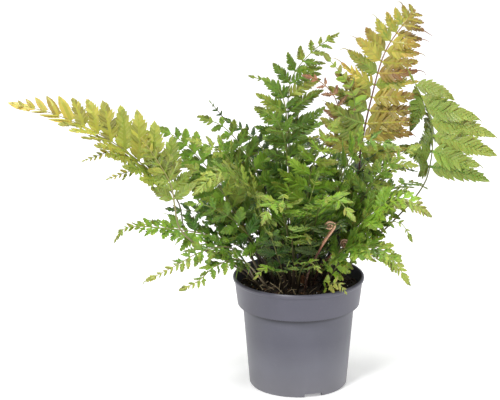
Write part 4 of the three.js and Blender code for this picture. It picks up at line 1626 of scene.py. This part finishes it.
@dataclass(frozen=True)
class Crozier:
    """A young frond, still coiled: a scaly stalk that ends in a flat spiral."""

    name: str
    stem: tuple[Point, ...]
    face: Point
    width: Point = (0.9, 0.95, 0.85)
    depth: Point = (1.0, 1.4, 1.5)
    stalk: float = 0.5
    tone: float = 0.5
    root_depth: float = 10.0
    coil_radius: float = 5.2
    eye_radius: float = 1.2
    turns: float = 1.9
    coil_points: int = 12
    steps: int = 72
    sides: int = 10
    scale: ScaleShape = ScaleShape(length=2.5, half_width=0.22)
    scales: int = 260
    scaly: float = 0.9
    scale_kind: int = 2
    shape: LeafletShape = LeafletShape()
    buds: int = 26
    bud_run: Pair = (0.52, 0.98)
    bud_way: Point = (0.6, 0.5, 0.4)
    bud_length: float = 3.0
    bud_lengths: Pair = (0.8, 1.2)
    bud_half_width: float = 0.8
    bud_droop: float = 0.5
    bud_ripeness: Pair = (0.3, 1.0)
    bud_tones: Pair = (0.2, 0.8)
    bud_out: float = 0.5

    def route(self) -> Route:
        """Gives the stalk's route, with the spiral at its end.

        Returns:
            The route.
        """
        top, below = Vector(self.stem[-1]), Vector(self.stem[-2])
        rise = (top - below).normalized()
        inward = Vector(self.face).cross(rise).normalized()
        centre = top + inward * self.coil_radius
        spiral = []
        for i in range(1, self.coil_points + 1):
            share = i / self.coil_points
            angle = math.tau * self.turns * share
            radius = self.coil_radius + (self.eye_radius - self.coil_radius) * share
            point = centre - inward * (radius * math.cos(angle)) + rise * (radius * math.sin(angle))
            spiral.append(tuple(point))
        return Route([*self.stem, *spiral], self.stalk, self.face)

    def spots(self, route: Route, draw: np.random.Generator) -> Iterator[Spot]:
        """Gives the places of the small coiled side leaves.

        Args:
            route: the route of the stalk.
            draw: the source of chance.

        Yields:
            The spots, two at each place.
        """
        forth, rise, beside = self.bud_way
        for share in np.linspace(*self.bud_run, self.buds):
            station = route.at(share)
            for side in (-1, 1):
                ahead = station.along * forth + station.up * (rise * side) - station.side * beside
                ahead.normalize()
                yield Spot(
                    root=station.point,
                    ahead=ahead,
                    normal=across(station.up * side, ahead),
                    length=self.bud_length * draw.uniform(*self.bud_lengths),
                    half_width=self.bud_half_width,
                    droop=self.bud_droop,
                    sweep=STILL,
                    ripeness=draw.uniform(*self.bud_ripeness),
                    tone=draw.uniform(*self.bud_tones),
                    out=self.bud_out,
                )

    def build(self, materials: Sequence[Material], seed: int) -> None:
        """Builds the crozier.

        Args:
            materials: the materials of the buds, the stalk and the scales.
            seed: the seed of its chance differences.
        """
        draw = np.random.default_rng(seed)
        route = self.route()
        bed = LeafBed()
        self.shape.press(bed, self.spots(route, draw))
        shares = np.linspace(-self.root_depth / route.length, 1, self.steps)
        rings = route.rings(self.width, self.depth, shares)
        bed.tube(rings, self.sides, self.tone, LeafBed.STALK, shares)
        roots = []
        for share in draw.uniform(0.0, self.scaly, self.scales):
            station = route.at(share)
            turn = draw.uniform(0, math.tau)
            outward = station.side * math.cos(turn) + station.up * math.sin(turn)
            point = station.point + outward * route.half(self.width, share)
            roots.append((point, outward, station.along))
        self.scale.strew(bed, roots, draw, self.scale_kind)
        turn_out(bed.mesh)
        settle(bed.mesh, f"{self.name}_coil", Slot.RUST, materials, [self.name])


CROZIERS = (
    Crozier("crozier_middle", (foot(5, -40), (9, -46, 130), (22, -60, 162), (33, -68, 182)),
            (0.2, -1, 0.1)),
    Crozier("crozier_right", (foot(13, -16), (20, -28, 128), (33, -38, 146), (46, -44, 153)),
            (0.3, -1, 0.3)),
)


@dataclass(frozen=True)
class FernCrown:
    """The scaly crown that the fronds grow from."""

    centre: Pair = (5.0, -8.0)
    radius: float = 5.0
    top: float = 112.0
    profile: tuple[Pair, ...] = (
        (0.0, 90.0), (5.0, 90.0), (5.6, 98.0), (5.4, 105.0), (3.6, 109.0), (0.0, 111.4),
    )
    sides: int = 24
    scale: ScaleShape = ScaleShape(length=4.0)
    scales: int = 320
    scale_kind: int = 1
    scaly: float = 10.0
    bare: float = 1.0
    blunt: float = 0.05
    seed: int = 7

    def build(self, materials: Sequence[Material]) -> None:
        """Builds the crown with its scales.

        Args:
            materials: the material of its body and that of its scales.
        """
        bed = LeafBed()
        body = spin_profile(self.profile, self.sides, self.centre)
        graft(bed.mesh, mesh_of(body, "crown body"))
        draw = np.random.default_rng(self.seed)
        base = self.top - self.scaly
        roots = []
        for height in draw.uniform(base, self.top - self.bare, self.scales):
            outward = heading_at(draw.uniform(0, math.tau))
            narrow = math.sqrt(max(1 - ((height - base) / self.scaly) ** 3, self.blunt))
            point = Vector((*self.centre, height)) + outward * (self.radius * narrow)
            roots.append((point, outward, UP))
        self.scale.strew(bed, roots, draw, self.scale_kind)
        turn_out(bed.mesh)
        settle(bed.mesh, "fern_crown", Slot.CROWN, materials, ["crown"])


# Pot


@dataclass(frozen=True)
class NurseryPot:
    """The tapered plastic pot, with its rim bead, collar, ledge, foot ring and drain holes."""

    wall: float = 1.2
    height: float = 112.0
    rim_radius: float = 65.0
    rim_bead: float = 4.6
    rim_round: float = 1.0
    rim_width: float = 2.4
    bead_step: float = 0.3
    bead_drop: float = 1.5
    collar_top: float = 63.3
    collar_foot: float = 60.3
    ledge: float = 83.6
    ledge_slope: float = 0.6
    body_top: float = 55.2
    body_foot: float = 48.3
    foot_radius: float = 47.0
    foot_ring: float = 2.6
    foot_slope: float = 0.8
    foot_round: float = 1.6
    floor: float = 4.0
    pad: float = 19.0
    pad_inner: float = 18.2
    slope: float = 1.4
    notches: int = 3
    notch_turn: float = -72.4
    notch_shift: float = 1.5
    notch_size: Point = (6.0, 18.0, 7.4)
    drains: int = 6
    drain_radius: float = 4.5
    drain_ring: float = 32.0
    drain_sides: int = 32
    steps: int = 144
    hard: float = 24.0
    rounding: float = 0.3
    crease: float = 14.0

    def profile(self) -> list[Pair]:
        """Gives the outline from the middle of the foot, up the outside and down the inside.

        Returns:
            Pairs of radius and height in millimetres.
        """
        bead_foot = self.height - self.rim_bead
        inner_foot = self.body_foot - self.wall
        return [
            (0.0, 0.0),
            (self.pad, 0.0),
            (self.pad + self.slope, self.floor),
            (self.foot_radius - self.foot_ring - self.foot_slope, self.floor),
            (self.foot_radius - self.foot_ring, 0.0),
            (self.foot_radius, 0.0),
            (self.body_foot, self.foot_round),
            (self.body_top, self.ledge - self.ledge_slope),
            (self.collar_foot, self.ledge),
            (self.collar_top, bead_foot),
            (self.rim_radius - self.bead_step, bead_foot + self.rim_round),
            (self.rim_radius, self.height - self.bead_drop),
            (self.rim_radius - self.rim_round, self.height),
            (self.rim_radius - self.rim_width, self.height),
            (self.collar_top - self.wall, self.height - self.wall),
            (self.collar_foot - self.wall, self.ledge + self.wall),
            (self.body_top - self.wall, self.ledge + self.ledge_slope),
            (inner_foot, self.floor + 2 * self.wall),
            (inner_foot - self.wall, self.floor + self.wall),
            (self.pad_inner + self.slope, self.floor + self.wall),
            (self.pad_inner, self.wall),
            (0.0, self.wall),
        ]

    def cutters(self) -> BMesh:
        """Gives the shapes of the notches in the foot ring and of the drain holes.

        Returns:
            One mesh with all of them.
        """
        bed = bmesh.new()
        notch_ring = self.foot_radius - self.foot_ring + self.notch_shift
        for i in range(self.notches):
            angle = math.radians(self.notch_turn) + math.tau * i / self.notches
            move = Matrix.Translation((notch_ring, 0, 0)) @ Matrix.Diagonal((*self.notch_size, 1.0))
            bmesh.ops.create_cube(bed, size=1.0, matrix=Matrix.Rotation(angle, 4, "Z") @ move)
        for i in range(self.drains):
            turn = Matrix.Rotation(math.tau * (i + 0.5) / self.drains, 4, "Z")
            move = Matrix.Translation((self.drain_ring, 0, self.floor + self.wall / 2))
            bmesh.ops.create_cone(
                bed, cap_ends=True, segments=self.drain_sides, radius1=self.drain_radius,
                radius2=self.drain_radius, depth=4 * self.wall, matrix=turn @ move,
            )
        return bed

    def build(self, finish: PlasticFinish) -> None:
        """Builds the pot: turns its outline, rounds its edges and cuts its openings.

        Args:
            finish: its plastic.
        """
        bed = spin_profile(self.profile(), self.steps)
        least = math.radians(self.hard)
        hard = [edge for edge in bed.edges if edge.calc_face_angle(0.0) > least]
        bmesh.ops.bevel(
            bed, geom=hard, offset=self.rounding, affect="EDGES", segments=2, profile=0.5,
            material=-1,
        )
        body = show("pot body", mesh_of(bed, "pot body"))
        tool = show("pot cutters", mesh_of(self.cutters(), "pot cutters"))
        cut = body.modifiers.new("notches and holes", "BOOLEAN")
        cut.operation = "DIFFERENCE"
        cut.solver = "EXACT"
        cut.object = tool
        depsgraph = bpy.context.evaluated_depsgraph_get()
        finished = bmesh.new()
        graft(finished, bpy.data.meshes.new_from_object(body.evaluated_get(depsgraph)))
        for part in (body, tool):
            spare = part.data
            bpy.data.objects.remove(part)
            bpy.data.meshes.remove(spare)
        plastic = [finish.material()]
        settle(finished, "grey_nursery_pot", Slot.POT, plastic, ["nursery_pot"], self.crease)


# Soil


@dataclass(frozen=True)
class PottingSoil:
    """The moist peat in the pot, and the lumpy top that all that is loose lies on."""

    pot: NurseryPot = NurseryPot()
    finish: SoilFinish = SoilFinish("moist peat", (16, 13, 11), (54, 44, 36))
    gap: float = 0.35
    edge_height: float = 100.0
    dome: tuple[Pair, ...] = ((0.0, 106.4), (24.0, 105.5), (46.0, 103.0), (61.0, 100.0))
    margin: float = 1.5
    dome_rings: int = 36
    lump: float = 1.5
    coarse: Pair = (3.0, 9.0)
    fine: Pair = (9.0, 2.6)
    fine_share: float = 0.45
    side_rise: float = 0.2
    steps: int = 120
    crease: float = 80.0
    rim: float = 58.5

    def profile(self) -> list[Pair]:
        """Gives the outline from the middle of the foot, up the side and over the top.

        Returns:
            Pairs of radius and height in millimetres.
        """
        pot, gap = self.pot, self.gap
        inner_foot = pot.body_foot - pot.wall - gap
        floor = pot.floor + pot.wall + gap
        rise = (self.edge_height - pot.ledge) / (pot.height - pot.rim_bead - pot.ledge)
        edge = pot.collar_foot - pot.wall - 2 * gap + (pot.collar_top - pot.collar_foot) * rise
        side = [
            (0.0, pot.wall + gap),
            (pot.pad_inner - gap, pot.wall + gap),
            (pot.pad_inner + pot.slope - gap, floor),
            (inner_foot - pot.wall, floor),
            (inner_foot, floor + pot.wall),
            (pot.body_top - pot.wall - gap, pot.ledge + pot.ledge_slope + gap),
            (pot.collar_foot - pot.wall - gap, pot.ledge + pot.wall + gap),
            (edge, self.edge_height),
        ]
        radii = np.linspace(edge - self.margin, self.margin, self.dome_rings)
        top = [(radius, self.height(radius)) for radius in [*radii, 0.0]]
        return [*side, *top]

    def height(self, radius: float) -> float:
        """Gives the height of the soil's top, without its lumps, at a distance from its middle."""
        radii, heights = zip(*self.dome)
        return float(np.interp(radius, radii, heights))

    def surface(self, x: float, y: float) -> float:
        """Gives the height of the soil's lumpy top at a place."""
        coarse, fine = (noise.noise(Vector((x, y, z)) / grain) for z, grain in (self.coarse, self.fine))
        return self.height(math.hypot(x, y)) + self.lump * (coarse + self.fine_share * fine)

    def build(self) -> None:
        """Builds the soil itself, with its lumpy top."""
        bed = spin_profile(self.profile(), self.steps)
        for vert in bed.verts:
            if vert.co.z > self.edge_height + self.side_rise:
                vert.co.z = self.surface(vert.co.x, vert.co.y)
        settle(bed, "potting_soil", Slot.SOIL, [self.finish.material()], ["soil"], self.crease)

    def places(self, count: int, draw: np.random.Generator, rim: float) -> list[Vector]:
        """Draws places on the soil's top.

        Args:
            count: how many.
            draw: the source of chance.
            rim: the greatest distance from the middle.

        Returns:
            The places.
        """
        radii = rim * np.sqrt(draw.uniform(0, 1, count))
        turns = draw.uniform(0, math.tau, count)
        flat = [(r * math.cos(t), r * math.sin(t)) for r, t in zip(radii, turns)]
        return [Vector((x, y, self.surface(x, y))) for x, y in flat]


@dataclass(frozen=True)
class Litter:
    """One kind of loose bits that lie on the soil."""

    name: str
    finish: SoilFinish
    count: int
    sizes: Pair
    flatness: float
    detail: int
    seed: int
    tip: float = 0.4
    slimness: Pair = (0.55, 0.95)
    height: float = 0.35
    knobs: float = 1.4
    ruggedness: float = 0.3

    def strew(self, soil: PottingSoil) -> None:
        """Strews the bits.

        Args:
            soil: the soil that they lie on.
        """
        draw = np.random.default_rng(self.seed)
        noise.seed_set(self.seed)
        bed = bmesh.new()
        for place in soil.places(self.count, draw, soil.rim):
            size = draw.uniform(*self.sizes)
            turn = Matrix.Rotation(draw.uniform(0, math.tau), 4, "Z")
            tip = Matrix.Rotation(draw.normal(0, self.tip), 4, "X")
            thick = size * self.flatness
            shape = Matrix.Diagonal((size, size * draw.uniform(*self.slimness), thick, 1.0))
            move = Matrix.Translation(place + UP * (thick * self.height))
            made = bmesh.ops.create_icosphere(
                bed, subdivisions=self.detail, radius=1.0, matrix=move @ turn @ tip @ shape
            )["verts"]
            for vert in made:
                bump = noise.noise_vector(vert.co * (self.knobs / size))
                vert.co += bump * (size * self.ruggedness)
        settle(bed, self.name, Slot.SOIL, [self.finish.material()], crease=soil.crease)


LITTERS = (
    Litter("soil_crumbs", SoilFinish("peat crumbs", (18, 14, 11), (80, 62, 48), 2.4),
           1100, (0.6, 2.2), 0.7, 1, 21),
    Litter("bark_chips", SoilFinish("bark chips", (58, 38, 26), (132, 96, 64), 2.0),
           60, (1.6, 3.6), 0.32, 1, 22),
    Litter("perlite_beads", SoilFinish("perlite", (196, 190, 180), (240, 238, 232), 1.0, 0.8),
           34, (0.6, 1.3), 0.85, 2, 23),
)


@dataclass(frozen=True)
class DeadStalks:
    """Dead stalks and root ends that lie on the soil, most of them at its left."""

    finish: StalkFinish = StalkFinish("dry straw", ((0.0, (132, 114, 86)), (1.0, (188, 170, 134))))
    count: int = 26
    reach: float = 50.0
    right_end: float = 15.0
    shift: float = -0.8
    lengths: Pair = (8.0, 24.0)
    lifts: Pair = (0.0, 0.9)
    rim: float = 57.0
    bends: Pair = (0.5, 2.5)
    stalk: float = 0.5
    face: Point = (0.1, 0.2, 1.0)
    half_widths: Pair = (0.3, 0.75)
    narrowing: float = 0.5
    start: float = -0.05
    rings: int = 8
    sides: int = 6
    ripeness: float = 0.5
    seed: int = 31

    def route(self, soil: PottingSoil, place: Vector, draw: np.random.Generator) -> Route:
        """Gives the route of one stalk.

        Args:
            soil: the soil that it lies on.
            place: where it was drawn to start.
            draw: the source of chance.

        Returns:
            The route.
        """
        x = place.x * (self.shift if place.x > self.right_end else 1.0)
        near = Vector((x, place.y, soil.surface(x, place.y)))
        turn = draw.uniform(0, math.tau)
        length = draw.uniform(*self.lengths)
        ahead = heading_at(turn, draw.uniform(*self.lifts)).normalized()
        far = near + ahead * length
        spill = max(math.hypot(far.x, far.y) / self.rim, 1.0)
        far = Vector((far.x / spill, far.y / spill, far.z))
        bend = near.lerp(far, 0.5) + UP * draw.uniform(*self.bends)
        return Route([tuple(near), tuple(bend), tuple(far)], self.stalk, self.face)

    def lay(self, soil: PottingSoil) -> None:
        """Lays the stalks.

        Args:
            soil: the soil that they lie on.
        """
        draw = np.random.default_rng(self.seed)
        bed = LeafBed()
        for place in soil.places(self.count, draw, self.reach):
            route = self.route(soil, place, draw)
            width = draw.uniform(*self.half_widths)
            rings = []
            for s in np.linspace(self.start, 1, self.rings):
                half = width * (1 - self.narrowing * s)
                rings.append(route.at(s).ring(half, half))
            dry = [self.ripeness] * self.rings
            bed.tube(rings, self.sides, draw.uniform(0, 1), LeafBed.LEAF, dry)
        turn_out(bed.mesh)
        settle(bed.mesh, "dead_stalks", Slot.SOIL, [self.finish.material()])


# Studio


@dataclass(frozen=True)
class Softbox:
    """A large area light that points at the plant."""

    name: str
    place: Point
    size: float
    watts: float

    def hang(self, target: Vector) -> None:
        """Adds the light to the scene.

        Args:
            target: the point that it is aimed at.
        """
        data = bpy.data.lights.new(self.name, "AREA")
        data.shape = "DISK"
        data.size = self.size
        data.energy = self.watts
        data.color = WHITE[:3]
        light = show(self.name, data)
        light.location = self.place
        light.rotation_euler = (target - light.location).to_track_quat("-Z", "Y").to_euler()


@dataclass(frozen=True)
class Studio:
    """A plain pale floor, soft light and the camera."""

    target: Point = (-0.048, 0.0, 0.189)
    elevation: float = 17.0
    distance: float = 2.8
    lens: float = 205.6
    sensor: float = 36.0
    clip_end: float = 50.0
    floor_half: float = 6.0
    world_light: float = 0.28
    softboxes: tuple[Softbox, ...] = (
        Softbox("key light", (-1.1, -1.9, 2.5), 0.9, 76.0),
        Softbox("fill light", (2.2, -1.4, 1.0), 1.6, 18.0),
        Softbox("top light", (0.3, 0.7, 2.6), 1.0, 40.0),
    )

    def build(self) -> None:
        """Builds the studio."""
        self.add_camera()
        self.add_light()
        self.add_floor()

    def add_camera(self) -> None:
        """Adds the camera, at the height and distance that the plant is seen from."""
        data = bpy.data.cameras.new("camera")
        data.lens = self.lens
        data.sensor_width = self.sensor
        data.clip_end = self.clip_end
        camera = show("camera", data)
        rise = math.radians(self.elevation)
        away = Vector((0.0, -math.cos(rise), math.sin(rise)))
        camera.location = Vector(self.target) + away * self.distance
        camera.rotation_euler = (-away).to_track_quat("-Z", "Y").to_euler()
        bpy.context.scene.camera = camera

    def add_light(self) -> None:
        """Adds an even white surrounding and the softboxes."""
        world = bpy.data.worlds.new("white surround")
        world.use_nodes = True
        background = world.node_tree.nodes["Background"].inputs
        background["Color"].default_value = WHITE
        background["Strength"].default_value = self.world_light
        bpy.context.scene.world = world
        bpy.context.scene.view_settings.view_transform = "Standard"
        for softbox in self.softboxes:
            softbox.hang(Vector(self.target))

    def add_floor(self) -> None:
        """Adds the floor, which isn't part of the plant."""
        bed = bmesh.new()
        bmesh.ops.create_grid(bed, x_segments=1, y_segments=1, size=self.floor_half)
        mesh = mesh_of(bed, "studio_floor")
        mesh.materials.append(FloorFinish().material())
        show("studio_floor", mesh)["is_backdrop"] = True


# Assembly


def solid_points(node: Object) -> KDTree:
    """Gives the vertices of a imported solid, ready to search.

    Args:
        node: the solid's object.

    Returns:
        The vertices, in millimetres.
    """
    tree = KDTree(len(node.data.vertices))
    for vert in node.data.vertices:
        tree.insert(vert.co / MM, vert.index)
    tree.balance()
    return tree


def write_sizes(packed: tuple[Vector, Vector]) -> None:
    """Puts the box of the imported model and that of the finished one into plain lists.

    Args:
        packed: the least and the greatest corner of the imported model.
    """
    boxes = {"cad": packed, "visual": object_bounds()}
    plain = {name: [list(map(float, corner)) for corner in box] for name, box in boxes.items()}


def grow_plant(nodes: dict[str, Object]) -> None:
    """Builds the crown, the croziers and the fronds.

    Args:
        nodes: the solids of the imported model, by their names.
    """
    scales = ScaleFinish("brown scales").material()
    bark = SoilFinish("crown bark", (46, 28, 18), (104, 68, 42)).material()
    FernCrown().build([bark, scales])
    leaves = {slot: finish.material() for slot, finish in LEAF_FINISHES.items()}
    stalks = {finish: finish.material() for finish in (GREEN_STALK, TAN_STALK, DARK_STALK)}
    skin = CROZIER_STALK.material()
    pale_scales = ScaleFinish("pale scales", (128, 82, 56), (228, 190, 160)).material()
    for seed, crozier in enumerate(CROZIERS, 50):
        crozier.build([leaves[Slot.RUST], skin, pale_scales], seed)
    for seed, frond in enumerate(FRONDS, 100):
        solid = solid_points(nodes[f"frond_{frond.name}"])
        frond.build(solid, [leaves[frond.slot], stalks[frond.stalk_finish]], seed)
    inner_fronds = [*FILLERS, *(frond for storey in STOREYS for frond in storey.fronds())]
    for seed, frond in enumerate(inner_fronds, 200):
        frond.build(None, [leaves[frond.slot], stalks[frond.stalk_finish]], seed)


def main() -> None:
    """Builds the studio, the pot, the soil and the plant."""
    logging.basicConfig(level=logging.INFO, format="%(message)s")
    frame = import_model()
    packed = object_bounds()
    Studio().build()
    NurseryPot().build(PlasticFinish())
    soil = PottingSoil()
    soil.build()
    for litter in LITTERS:
        litter.strew(soil)
    DeadStalks().lay(soil)
    grow_plant(frame["nodes"])
    write_sizes(packed)


if __name__ == "__main__":
    main()
